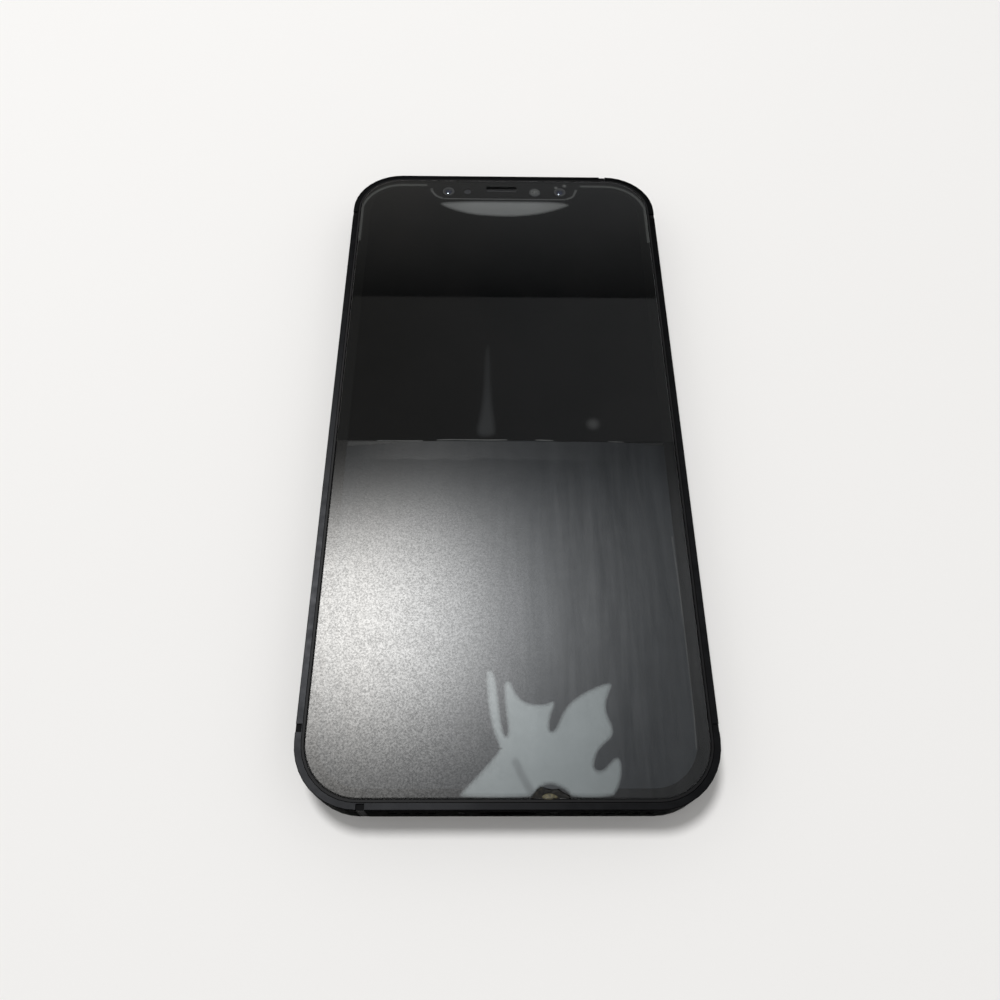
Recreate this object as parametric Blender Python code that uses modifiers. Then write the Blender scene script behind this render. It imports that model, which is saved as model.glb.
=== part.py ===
"""A slab smartphone with a broken display: its casing, its front and everything inside it.

The phone lies on its back. +X is its right side seen from the front, +Y its top end and +Z points out of
the screen. The origin is under the middle of the phone, level with the lowest point of the camera rings.
Sizes are in millimetres through the constant MM, so that every object ends in metres.
"""

import math

import bmesh
import bpy

MM = 0.001

# Driving dimensions of the casing
BODY_W = 71.5
BODY_L = 146.7
CORNER_R = 11.2
BACK_Z = 1.5  # back plane of the body, above the lowest point of the camera rings
FRONT_Z = 8.9  # outer face of the cover glass
RIM_DROP = 0.15  # how far the metal rim stays below the cover glass
RIM = 1.15  # width of the metal rim round the front and the back
WALL = 2.6  # thickness of the metal wall round the cavity
PLATE_Z = (2.4, 3.0)  # the mid plate, machined in one piece with the wall
LEDGE_Z = 6.9  # the step that the display rests on
GAP = 0.1  # clearance between neighbours

# Display stack
LIP = 0.4  # visible width of the plastic display frame
GLASS_Z = (8.2, FRONT_Z)
GLASS_EDGE = 0.26  # rounding of the cover glass's edges
GLASS_CHAMFER = 0.1  # bevel round its underside
PANEL_Z = (7.5, 8.1)
BACKING_Z = (7.2, 7.4)
FRAME_Z = (7.2, 8.1)
SCREEN_W = 63.8
SCREEN_L = 139.8
SCREEN_R = 8.0
NOTCH_W = 34.6
NOTCH_BOTTOM_Y = 66.2
NOTCH_R = 3.6
FRACTURE_Y = -2.85  # where the display panel has broken across
CHIP = (6.7, -72.2, 2.55)  # centre and radius of the bite out of the cover glass

# Things on the left wall (-X), by the middle of each along Y
SIDE_Z = 5.2
SWITCH_Y = 41.2
VOLUME_UP_Y = 29.4
VOLUME_DOWN_Y = 15.6
TRAY_Y = -12.0
# and on the right wall
SIDE_BUTTON_Y = 22.5
BUTTON_PROUD = 0.4
BUTTON_TRAVEL = 0.25

# Rear cameras
PLATEAU = (19.0, 56.7, 28.6, 7.2)  # centre x and y, side and corner radius
PLATEAU_Z = 0.8
LENS_SPOTS = (("wide", 25.0, 62.9), ("ultrawide", 25.0, 49.7))
RING_R = 6.2
FLASH = (12.2, 56.7, 3.0)
REAR_MIC = (12.2, 49.2, 0.7)

# Windows in the notch: name, x, y, radius
NOTCH_WINDOWS = (
    ("infrared_camera", -13.4, 68.7, 1.5),
    ("flood_illuminator", -8.8, 68.7, 1.0),
    ("front_camera", 7.5, 68.45, 1.4),
    ("dot_projector", 13.6, 68.7, 1.5),
)
EARPIECE = (-0.6, 69.1, 7.4, 0.8)  # centre x and y, length and height of the slot

# Charging coil under the battery
COIL_Y = -4.0
COIL_R = (11.5, 21.5)
MAGNET_R = (23.5, 27.5)

ARC_STEPS = 10
ROUND_STEPS = 32


# ---------------------------------------------------------------- scene and materials

def clear_scene():
    for obj in list(bpy.data.objects):
        bpy.data.objects.remove(obj, do_unlink=True)


def new_collection(name, parent=None):
    made = bpy.data.collections.new(name)
    (parent or bpy.context.scene.collection).children.link(made)
    return made


def make_material(name, colour, roughness, metallic=0.0, alpha=1.0):
    material = bpy.data.materials.new(name)
    material.use_nodes = True
    shader = material.node_tree.nodes["Principled BSDF"]
    shader.inputs["Base Color"].default_value = (*colour, 1.0)
    shader.inputs["Roughness"].default_value = roughness
    shader.inputs["Metallic"].default_value = metallic
    shader.inputs["Alpha"].default_value = alpha
    return material


def make_materials():
    table = {
        "black_aluminium": ((0.018, 0.018, 0.02), 0.34, 0.9),
        "clear_glass": ((0.85, 0.87, 0.88), 0.04, 0.0, 0.25),
        "back_glass": ((0.008, 0.008, 0.01), 0.08, 0.0),
        "panel_black": ((0.01, 0.01, 0.012), 0.18, 0.3),
        "panel_satin": ((0.12, 0.13, 0.15), 0.42, 0.6),
        "black_plastic": ((0.016, 0.016, 0.017), 0.4, 0.0),
        "grey_plastic": ((0.09, 0.09, 0.095), 0.5, 0.0),
        "steel": ((0.42, 0.42, 0.43), 0.32, 1.0),
        "dark_steel": ((0.10, 0.10, 0.11), 0.3, 1.0),
        "copper": ((0.62, 0.30, 0.14), 0.35, 1.0),
        "board_green": ((0.01, 0.05, 0.035), 0.45, 0.0),
        "flex_amber": ((0.16, 0.07, 0.015), 0.4, 0.0),
        "battery_wrap": ((0.02, 0.02, 0.022), 0.55, 0.0),
        "lens_glass": ((0.01, 0.012, 0.02), 0.03, 0.0, 0.5),
        "flash_white": ((0.75, 0.70, 0.50), 0.25, 0.0),
        "seal_black": ((0.012, 0.012, 0.012), 0.7, 0.0),
    }
    return {name: make_material(name, *values) for name, values in table.items()}


# ---------------------------------------------------------------- outlines, in millimetres

def arc(cx, cy, radius, start, end, steps=ARC_STEPS):
    """Points of an arc, from start to end in degrees, both ends included."""
    turns = [math.radians(start + (end - start) * i / steps) for i in range(steps + 1)]
    return [(cx + radius * math.cos(t), cy + radius * math.sin(t)) for t in turns]


def rounded_rect(width, length, radius, cx=0.0, cy=0.0, steps=ARC_STEPS):
    x, y = width / 2 - radius, length / 2 - radius
    points = []
    for sx, sy, start in ((1, 1, 0), (-1, 1, 90), (-1, -1, 180), (1, -1, 270)):
        points += arc(cx + sx * x, cy + sy * y, radius, start, start + 90, steps)
    return points


def body_outline(inset, steps=ARC_STEPS):
    return rounded_rect(BODY_W - 2 * inset, BODY_L - 2 * inset, CORNER_R - inset, steps=steps)


def circle(cx, cy, radius, steps=ROUND_STEPS):
    return arc(cx, cy, radius, 0, 360 - 360 / steps, steps - 1)


def rectangle(x0, x1, y0, y1):
    return [(x0, y0), (x1, y0), (x1, y1), (x0, y1)]


def screen_outline(inset=0.0):
    """The lit area's outline: a rounded rectangle with the notch in its top edge, counter-clockwise."""
    x, y = SCREEN_W / 2 - inset, SCREEN_L / 2 - inset
    r = SCREEN_R - inset
    notch = NOTCH_W / 2 + inset
    bottom = NOTCH_BOTTOM_Y - inset
    corner = NOTCH_R
    shoulder = 0.9
    points = arc(x - r, y - r, r, 0, 90)
    points += arc(notch + shoulder, y - shoulder, shoulder, 90, 180, 4)
    points += arc(notch - corner, bottom + corner, corner, 0, -90, 8)
    points += arc(-notch + corner, bottom + corner, corner, -90, -180, 8)
    points += arc(-notch - shoulder, y - shoulder, shoulder, 0, 90, 4)
    points += arc(-x + r, y - r, r, 90, 180)
    points += arc(-x + r, -y + r, r, 180, 270)
    points += arc(x - r, -y + r, r, 270, 360)
    return points


def fracture_line(x):
    """Height along Y of the break across the panel, which wanders a little."""
    return FRACTURE_Y + 0.25 * math.cos(x / 11.0) + 0.08 * math.sin(x / 2.3)


def chip_outline():
    """A bite out of the glass's lower edge with an uneven, shell-like border."""
    cx, cy, radius = CHIP
    points = []
    for i in range(18):
        turn = 2 * math.pi * i / 18
        reach = radius * (1.0 + 0.16 * math.sin(3 * turn + 0.6) + 0.09 * math.sin(7 * turn))
        points.append((cx + 1.15 * reach * math.cos(turn), cy + reach * math.sin(turn)))
    return points


# ---------------------------------------------------------------- solids

def outline_mesh(name, loops, depth):
    """A mesh of flat outlines, the first the outer edge and the rest holes, extruded by depth about z = 0."""
    curve = bpy.data.curves.new(name, "CURVE")
    curve.dimensions = "2D"
    curve.fill_mode = "BOTH"
    curve.extrude = depth / 2 * MM
    for loop in loops:
        spline = curve.splines.new("POLY")
        spline.points.add(len(loop) - 1)
        for point, (x, y) in zip(spline.points, loop):
            point.co = (x * MM, y * MM, 0.0, 1.0)
        spline.use_cyclic_u = True
    helper = bpy.data.objects.new(name + "_outline", curve)
    bpy.context.scene.collection.objects.link(helper)
    graph = bpy.context.evaluated_depsgraph_get()
    mesh = bpy.data.meshes.new_from_object(helper.evaluated_get(graph))
    bpy.data.objects.remove(helper, do_unlink=True)
    bpy.data.curves.remove(curve)
    sewn = bmesh.new()
    sewn.from_mesh(mesh)
    bmesh.ops.remove_doubles(sewn, verts=sewn.verts, dist=1e-6)
    bmesh.ops.recalc_face_normals(sewn, faces=sewn.faces)
    sewn.to_mesh(mesh)
    sewn.free()
    mesh.name = name
    return mesh


def lofted_mesh(name, rings):
    """A closed mesh through outlines that have the same number of points, each given with its height."""
    mesh = bpy.data.meshes.new(name)
    shape = bmesh.new()
    levels = [[shape.verts.new((x * MM, y * MM, z * MM)) for x, y in loop] for loop, z in rings]
    for below, above in zip(levels, levels[1:]):
        count = len(below)
        for i in range(count):
            j = (i + 1) % count
            shape.faces.new((below[i], below[j], above[j], above[i]))
    shape.faces.new(levels[0][::-1])
    shape.faces.new(levels[-1])
    bmesh.ops.recalc_face_normals(shape, faces=shape.faces)
    shape.to_mesh(mesh)
    shape.free()
    return mesh


class Builder:
    """Makes named objects in the phone's collection, and cutters in another."""

    def __init__(self):
        self.phone = new_collection("smartphone")
        self.helpers = new_collection("cutters")
        self.materials = make_materials()

    def add(self, name, mesh, material, location=(0, 0, 0), rotation=(0, 0, 0)):
        obj = bpy.data.objects.new(name, mesh)
        obj.location = [v * MM for v in location]
        obj.rotation_euler = rotation
        mesh.materials.clear()
        mesh.materials.append(self.materials[material])
        self.phone.objects.link(obj)
        return obj

    def plate(self, name, loops, z, material):
        """A flat piece between the heights z[0] and z[1]. Its origin is at its mid height."""
        mesh = outline_mesh(name, loops, z[1] - z[0])
        return self.add(name, mesh, material, (0, 0, (z[0] + z[1]) / 2))

    def side_plate(self, name, loops, x, material, centre=(0, 0)):
        """A piece whose outline stands in the YZ plane about centre, between x[0] and x[1]."""
        mesh = outline_mesh(name, loops, x[1] - x[0])
        turn = (math.pi / 2, 0, math.pi / 2)
        return self.add(name, mesh, material, ((x[0] + x[1]) / 2, *centre), turn)

    def end_plate(self, name, loops, y, material, centre=(0, 0)):
        """A piece whose outline stands in the XZ plane about centre, between y[0] and y[1]."""
        mesh = outline_mesh(name, loops, y[1] - y[0])
        place = (centre[0], (y[0] + y[1]) / 2, centre[1])
        return self.add(name, mesh, material, place, (math.pi / 2, 0, 0))

    def box(self, name, x, y, z, material, bevel=0.0):
        bpy.ops.mesh.primitive_cube_add(size=1)
        obj = bpy.context.active_object
        for v in obj.data.vertices:
            v.co.x *= (x[1] - x[0]) * MM
            v.co.y *= (y[1] - y[0]) * MM
            v.co.z *= (z[1] - z[0]) * MM
        mesh = obj.data
        bpy.data.objects.remove(obj, do_unlink=True)
        mesh.name = name
        made = self.add(name, mesh, material, [sum(side) / 2 for side in (x, y, z)])
        if bevel:
            bevel_edges(made, bevel)
        return made

    def cylinder(self, name, centre, radius, span, axis, material, steps=ROUND_STEPS):
        """A closed cylinder along 'X', 'Y' or 'Z', from span[0] to span[1] on that axis."""
        mesh = bpy.data.meshes.new(name)
        shape = bmesh.new()
        bmesh.ops.create_cone(shape, cap_ends=True, segments=steps, radius1=radius * MM,
                              radius2=radius * MM, depth=(span[1] - span[0]) * MM)
        shape.to_mesh(mesh)
        shape.free()
        middle = (span[0] + span[1]) / 2
        turns = {"X": (0, math.pi / 2, 0), "Y": (math.pi / 2, 0, 0), "Z": (0, 0, 0)}
        places = {"X": (middle, *centre), "Y": (centre[0], middle, centre[1]), "Z": (*centre, middle)}
        return self.add(name, mesh, material, places[axis], turns[axis])

    def as_cutter(self, obj):
        self.phone.objects.unlink(obj)
        self.helpers.objects.link(obj)
        obj.hide_render = True
        obj.display_type = "WIRE"
        return obj

    def cut(self, obj, tools, solver="EXACT"):
        """Takes each tool out of obj. The tools move to the cutters' collection."""
        for tool in tools:
            self.boolean(obj, self.as_cutter(tool), "DIFFERENCE", solver)

    def join(self, obj, tools):
        for tool in tools:
            self.boolean(obj, self.as_cutter(tool), "UNION")

    def boolean(self, obj, tool, operation, solver="EXACT"):
        step = obj.modifiers.new(operation.lower() + "_" + tool.name, "BOOLEAN")
        step.operation = operation
        step.object = tool
        step.solver = solver


def bevel_edges(obj, width, segments=2, angle=50):
    step = obj.modifiers.new("edge_bevel", "BEVEL")
    step.width = width * MM
    step.segments = segments
    step.limit_method = "ANGLE"
    step.angle_limit = math.radians(angle)
    return step


def pill(length, height, cx=0.0, cy=0.0, steps=12):
    """Outline of a slot with round ends, long along its first coordinate."""
    r = height / 2
    half = length / 2 - r
    return arc(cx + half, cy, r, -90, 90, steps) + arc(cx - half, cy, r, 90, 270, steps)


def ribbon(path, thickness):
    """Outline of a strip that follows a path, half its thickness to either side."""
    left, right = [], []
    for i, (u, v) in enumerate(path):
        before, after = path[max(i - 1, 0)], path[min(i + 1, len(path) - 1)]
        du, dv = after[0] - before[0], after[1] - before[1]
        reach = thickness / 2 / math.hypot(du, dv)
        left.append((u - dv * reach, v + du * reach))
        right.append((u + dv * reach, v - du * reach))
    return left + right[::-1]


# ---------------------------------------------------------------- the casing

def side_slot(b, name, loop, y, z, side, depth=4.0):
    """A cutter for a slot of the given outline through the left (-1) or right (+1) wall."""
    inner, outer = BODY_W / 2 - depth, BODY_W / 2 + 1.0
    x = (inner, outer) if side > 0 else (-outer, -inner)
    return b.side_plate(name, [loop], x, "black_plastic", (y, z))


def end_hole(b, name, x, z, radius, end, steps=12):
    """A cutter for a round hole through the bottom (-1) or top (+1) wall."""
    reach = BODY_L / 2
    span = (-reach - 1, -reach + 4) if end < 0 else (reach - 4, reach + 1)
    return b.cylinder(name, (x, z), radius, span, "Y", "black_plastic", steps)


ANTENNA_BREAKS = (
    ("antenna_insert_top", "Y", 1, 24.0),
    ("antenna_insert_bottom", "Y", -1, -24.0),
    ("antenna_insert_left_top", "X", -1, 60.2),
    ("antenna_insert_left_bottom", "X", -1, -60.2),
    ("antenna_insert_right_top", "X", 1, 60.2),
    ("antenna_insert_right_bottom", "X", 1, -60.2),
)
BREAK_WIDTH = 1.3
INSERT_DEPTH = 1.0  # how far each plastic insert reaches into the wall


def break_box(b, name, axis, side, along, grow):
    """The block of one antenna break, grown by 'grow' on the sides where the wall touches it."""
    half = BREAK_WIDTH / 2 + grow
    reach = (BODY_W if axis == "X" else BODY_L) / 2
    inner = reach - INSERT_DEPTH - grow
    outer = reach + (1.0 if grow else -0.02)
    across = (inner, outer) if side > 0 else (-outer, -inner)
    z = (BACK_Z + 0.3 - 5 * grow, FRONT_Z - RIM_DROP - 0.3 + 5 * grow)
    spread = (along - half, along + half)
    x, y = (across, spread) if axis == "X" else (spread, across)
    return b.box(name, x, y, z, "grey_plastic")


def bottom_holes(b):
    """Cutters for the bottom end: the charge port, its two screws and the two rows of sound holes."""
    reach = BODY_L / 2
    tools = [b.end_plate("cut_port", [pill(9.1, 3.1)], (-reach - 1, -reach + 4), "black_plastic",
                         (0, SIDE_Z))]
    for side, count in ((-1, 4), (1, 6)):
        for i in range(count):
            x = side * (12.6 + 2.15 * i)
            tools.append(end_hole(b, f"cut_sound_{side}_{i}", x, SIDE_Z, 0.72, -1))
    for side in (-1, 1):
        tools.append(end_hole(b, f"cut_screw_{side}", side * 7.6, SIDE_Z, 0.85, -1))
    return tools


def make_frame(b):
    """The aluminium band and mid plate, machined from one piece."""
    band = b.plate("mid_frame", [body_outline(0)], (BACK_Z, FRONT_Z - RIM_DROP), "black_aluminium")
    bevel_edges(band, 0.35, 2)
    high, low = FRONT_Z + 3, BACK_Z - 3
    tools = [
        b.plate("cut_front", [body_outline(RIM)], (LEDGE_Z, high), "black_plastic"),
        b.plate("cut_cavity", [body_outline(WALL)], (PLATE_Z[1], high), "black_plastic"),
        b.plate("cut_back", [body_outline(RIM)], (low, PLATE_Z[0]), "black_plastic"),
        b.cylinder("cut_coil", (0, COIL_Y), MAGNET_R[1] + 0.6, (low, PLATE_Z[1] + 1), "Z",
                   "black_plastic", 48),
        b.plate("cut_cameras", [rounded_rect(27.4, 28.0, 3, 18.9, 56.7, 4)],
                (low, PLATE_Z[1] + 1), "black_plastic"),
        side_slot(b, "cut_volume_up", pill(10.6, 3.0), VOLUME_UP_Y, SIDE_Z, -1),
        side_slot(b, "cut_volume_down", pill(10.6, 3.0), VOLUME_DOWN_Y, SIDE_Z, -1),
        side_slot(b, "cut_side_button", pill(19.4, 3.0), SIDE_BUTTON_Y, SIDE_Z, 1),
        side_slot(b, "cut_switch", rounded_rect(6.2, 3.3, 0.8), SWITCH_Y, SIDE_Z, -1),
        side_slot(b, "cut_tray", pill(15.4, 2.5), TRAY_Y, SIDE_Z - 0.6, -1),
    ]
    tools += bottom_holes(b)
    tools += [break_box(b, "cut_" + name, axis, side, along, 0.06)
              for name, axis, side, along in ANTENNA_BREAKS]
    b.cut(band, tools)
    for name, axis, side, along in ANTENNA_BREAKS:
        break_box(b, name, axis, side, along, 0.0)


def make_rear(b):
    """The back glass with its raised camera field, and what is set into it."""
    glass = b.plate("rear_glass", [body_outline(RIM + GAP)], (BACK_Z, PLATE_Z[0] - GAP), "back_glass")
    cx, cy, side, radius = PLATEAU
    field = b.plate("join_plateau", [rounded_rect(side, side, radius, cx, cy)],
                    (PLATEAU_Z, BACK_Z + 0.4), "back_glass")
    bevel_edges(field, 0.35, 2)
    b.join(glass, [field])
    holes = [b.cylinder(f"cut_ring_{name}", (x, y), RING_R + GAP, (-1, 5), "Z", "back_glass")
             for name, x, y in LENS_SPOTS]
    holes.append(b.cylinder("cut_flash", FLASH[:2], FLASH[2] + GAP, (-1, 5), "Z", "back_glass"))
    holes.append(b.cylinder("cut_mic", REAR_MIC[:2], REAR_MIC[2], (-1, 5), "Z", "back_glass", 16))
    b.cut(glass, holes)
    b.cylinder("flash_lens", FLASH[:2], FLASH[2], (PLATEAU_Z + 0.1, 2.3), "Z", "flash_white")
    b.cylinder("flash_module", FLASH[:2], 2.4, (2.5, 4.0), "Z", "flash_white", 20)
    for name, x, y in LENS_SPOTS:
        make_camera(b, name, x, y)


def make_camera(b, name, x, y):
    """One rear camera: the metal ring, its glass cover and the module with the barrel behind it."""
    ring = b.plate(f"{name}_lens_ring", [circle(x, y, RING_R), circle(x, y, RING_R - 1.2)],
                   (0, 2.2), "dark_steel")
    bevel_edges(ring, 0.2, 2)
    b.cylinder(f"{name}_lens_cover", (x, y), RING_R - 1.3, (0.3, 0.8), "Z", "lens_glass")
    module = b.box(f"{name}_camera", (x - 5.4, x + 5.4), (y - 5.4, y + 5.4), (2.6, 6.5),
                   "dark_steel", 0.3)
    barrel = b.cylinder(f"join_barrel_{name}", (x, y), 4.3, (1.3, 3.2), "Z", "black_plastic")
    b.join(module, [barrel])
    iris = b.cylinder(f"cut_iris_{name}", (x, y), 2.2, (0, 2.2), "Z", "black_plastic")
    b.cut(module, [iris])


# ---------------------------------------------------------------- the display

def make_display(b):
    outer = RIM + GAP
    ex, ey, el, eh = EARPIECE
    windows = [circle(x, y, r, 20) for _, x, y, r in NOTCH_WINDOWS]
    windows.append(pill(el + 1.6, eh + 0.7, ex, ey))
    loops = [body_outline(outer), screen_outline(-0.1), *windows]
    frame = b.plate("display_frame", loops, (FRAME_Z[0], FRONT_Z - 0.12), "black_plastic")
    seat = b.plate("cut_glass_seat", [body_outline(outer + LIP)], (FRAME_Z[1], FRONT_Z + 1), "black_plastic")
    b.cut(frame, [seat], "MANIFOLD")
    make_cover_glass(b, outer + LIP + GAP / 2)
    make_panel(b)
    b.plate("display_backing", [screen_outline(0.4)], BACKING_Z, "steel")
    b.plate("display_seal", [body_outline(outer + 0.05), body_outline(WALL)],
            (LEDGE_Z + 0.03, FRAME_Z[0] - 0.05), "seal_black")
    b.plate("earpiece_mesh", [pill(el + 1.4, eh + 0.5, ex, ey)], (7.6, 7.8), "dark_steel")


def make_cover_glass(b, inset):
    ex, ey, el, eh = EARPIECE
    bottom, top = GLASS_Z
    rings = [(body_outline(inset + GLASS_CHAMFER), bottom), (body_outline(inset), bottom + GLASS_CHAMFER)]
    for turn in (0, 30, 60, 90):
        shrink = GLASS_EDGE * (1 - math.cos(math.radians(turn)))
        rise = GLASS_EDGE * math.sin(math.radians(turn))
        rings.append((body_outline(inset + shrink), top - GLASS_EDGE + rise))
    glass = b.add("cover_glass", lofted_mesh("cover_glass", rings), "clear_glass")
    slot = b.plate("cut_earpiece", [pill(el, eh, ex, ey)], (bottom - 0.5, top + 1), "clear_glass")
    bite = b.plate("cut_chip", [chip_outline()], (bottom - 0.5, top + 1), "clear_glass")
    b.cut(glass, [slot, bite])


def panel_piece(b, name, upper, material):
    """One half of the broken panel, cut from the whole outline along the fracture."""
    panel = b.plate(name, [screen_outline(0.0)], PANEL_Z, material)
    shift = -0.06 if upper else 0.06
    reach = SCREEN_W / 2 + 5
    steps = 24
    edge = [(-reach + 2 * reach * i / steps) for i in range(steps + 1)]
    far = -SCREEN_L if upper else SCREEN_L
    loop = [(x, fracture_line(x) - shift) for x in edge] + [(reach, far), (-reach, far)]
    waste = b.plate("cut_" + name, [loop], (PANEL_Z[0] - 1, PANEL_Z[1] + 1), material)
    b.cut(panel, [waste])
    return panel


def make_panel(b):
    panel_piece(b, "display_panel_upper", True, "panel_black")
    panel_piece(b, "display_panel_lower", False, "panel_satin")


# ---------------------------------------------------------------- keys, switch and card tray

def make_key(b, name, y, length, side):
    """A side key: a long cap that stands out of its slot, on a flange that stops it from falling out."""
    outer = BODY_W / 2 + BUTTON_PROUD
    inner = BODY_W / 2 - WALL - 0.05
    cap_x, flange_x = (inner - 0.2, outer), (inner - 0.6, inner)
    if side < 0:
        cap_x, flange_x = (-cap_x[1], -cap_x[0]), (-flange_x[1], -flange_x[0])
    place = (y, SIDE_Z)
    key = b.side_plate(name, [pill(length, 2.8)], cap_x, "black_aluminium", place)
    bevel_edges(key, 0.25, 2, 60)
    flange = b.side_plate("join_" + name, [pill(length + 1.6, 3.6)], flange_x, "black_aluminium", place)
    b.join(key, [flange])
    gap = BUTTON_TRAVEL + 0.15
    back = flange_x[0] - gap if side > 0 else flange_x[1] + gap
    x = (back - 0.9, back) if side > 0 else (back, back + 0.9)
    b.box(name.replace("button", "dome_switch"), x, (y - length / 2, y + length / 2),
          (SIDE_Z - 1.4, SIDE_Z + 1.4), "steel", 0.15)


def make_switch(b):
    """The ring and silent switch: a small toggle on a slider plate."""
    outer = BODY_W / 2 + 0.15
    inner = BODY_W / 2 - WALL - 0.05
    top = SIDE_Z + 1.55
    toggle = b.side_plate("ring_switch", [rounded_rect(5.7, 1.8, 0.7)], (-outer, -inner + 0.2), "black_aluminium",
                          (SWITCH_Y, top - 0.9))
    bevel_edges(toggle, 0.2, 2, 60)
    slider = b.side_plate("join_slider", [rectangle(-3.4, 3.4, -1.2, 1.2)], (-inner, -inner + 0.6),
                          "black_aluminium", (SWITCH_Y, top - 1.1))
    b.join(toggle, [slider])


def make_tray(b):
    """The card tray, and the reader that it slides into."""
    z = SIDE_Z - 0.6
    wall = -BODY_W / 2
    tray = b.side_plate("sim_tray", [pill(15.1, 2.2)], (wall - 0.02, wall + 1.6), "black_aluminium",
                        (TRAY_Y, z))
    blade = b.box("join_blade", (wall + 1.2, wall + 14.6), (TRAY_Y - 6.6, TRAY_Y + 6.6),
                  (z - 0.6, z + 0.4), "black_aluminium")
    b.join(tray, [blade])
    pocket = b.box("cut_pocket", (wall + 2.9, wall + 13.6), (TRAY_Y - 6.0, TRAY_Y + 3.6),
                   (z - 0.35, z + 2), "black_aluminium")
    eject = b.cylinder("cut_eject", (TRAY_Y + 6.0, z), 0.45, (wall - 1, wall + 4), "X",
                       "black_aluminium", 12)
    b.cut(tray, [pocket, eject])
    reader = b.box("sim_reader", (wall + 3.2, wall + 16.6), (TRAY_Y - 7.6, TRAY_Y + 7.6),
                   (z - 1.0, z + 1.0), "steel", 0.15)
    b.cut(reader, [b.box("cut_reader", (wall - 2, wall + 15.4), (TRAY_Y - 6.8, TRAY_Y + 6.8),
                         (z - 0.72, z + 0.55), "steel")])


# ---------------------------------------------------------------- the inside

def make_notch_parts(b):
    """The sensor modules behind the notch and the earpiece speaker."""
    for name, x, y, r in NOTCH_WINDOWS:
        half = r + 0.45
        module = b.box(name, (x - half, x + half), (y - half, y + half), (4.3, 6.3), "dark_steel", 0.15)
        barrel = b.cylinder("join_" + name, (x, y), r - 0.15, (6.0, 7.9), "Z", "black_plastic", 20)
        b.join(module, [barrel])
    ex, ey = EARPIECE[:2]
    speaker = b.box("earpiece_speaker", (ex - 6.0, ex + 6.0), (ey - 5.0, ey + 1.4), (3.3, 6.7),
                    "black_plastic", 0.3)
    throat = b.box("join_throat", (ex - 3.6, ex + 3.6), (ey - 0.6, ey + 0.6), (6.4, 7.5), "black_plastic")
    b.join(speaker, [throat])


def make_board(b):
    """The main circuit board, its screening cans and the board's screws."""
    z = (3.4, 4.3)
    outline = [(-30.8, 3.2), (-18.5, 3.2), (-18.5, -37.0), (-12.0, -37.0), (-12.0, 37.0),
               (2.5, 37.0), (2.5, 62.0), (-30.8, 62.0)]
    holes = [circle(x, y, 1.0, 16) for x, y in BOARD_SCREWS]
    b.plate("logic_board", [outline, *holes], z, "board_green")
    b.box("board_can_upper", (-28.5, -0.5), (41.5, 58.5), (z[1] + 0.1, z[1] + 1.7), "steel", 0.25)
    b.box("board_can_lower", (-28.5, -14.0), (7.5, 33.5), (z[1] + 0.1, z[1] + 1.7), "steel", 0.25)
    for i, (x, y) in enumerate(BOARD_SCREWS, 1):
        make_screw(b, f"board_screw_{i}", (x, y), (z[0] - 0.2, z[1] + 0.1), 0.8, 1.5)


BOARD_SCREWS = ((-29.0, 60.2), (0.7, 60.2), (-29.0, 5.0))


def make_screw(b, name, centre, shank, r, head_r):
    """A small upright screw with a cross slot in its head."""
    screw = b.cylinder(name, centre, r, (shank[0], shank[1] + 0.2), "Z", "steel", 12)
    head = b.cylinder("join_" + name, centre, head_r, (shank[1], shank[1] + 0.6), "Z", "steel", 16)
    b.join(screw, [head])
    x, y = centre
    slot = (shank[1] + 0.35, shank[1] + 1.5)
    b.cut(screw, [b.box("cut_a_" + name, (x - 0.9, x + 0.9), (y - 0.16, y + 0.16), slot, "steel"),
                  b.box("cut_b_" + name, (x - 0.16, x + 0.16), (y - 0.9, y + 0.9), slot, "steel")])


def make_power(b):
    """The battery, and the coil and magnets under it."""
    b.box("battery", (-10.6, 30.8), (-45.5, 34.5), (3.5, 6.8), "battery_wrap", 0.5)
    b.box("battery_flex", (-13.6, -10.9), (-4.0, 20.0), (4.4, 4.6), "flex_amber")
    b.plate("charging_coil", [circle(0, COIL_Y, COIL_R[1], 48), circle(0, COIL_Y, COIL_R[0], 48)],
            (2.4, 3.1), "copper")
    b.plate("magnet_ring", [circle(0, COIL_Y, MAGNET_R[1], 48), circle(0, COIL_Y, MAGNET_R[0], 48)],
            (2.4, 3.1), "steel")


def corner_block(side, near, far, low, high, radius=8.0):
    """Outline of a block beside the middle, on the left (-1) or right (+1), that fits the rounded corner."""
    curve = arc(far - radius, low + radius, radius, 0, -90)
    loop = [(near, high), (far, high), *curve, (near, low)]
    return [(side * x, y) for x, y in loop]


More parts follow.
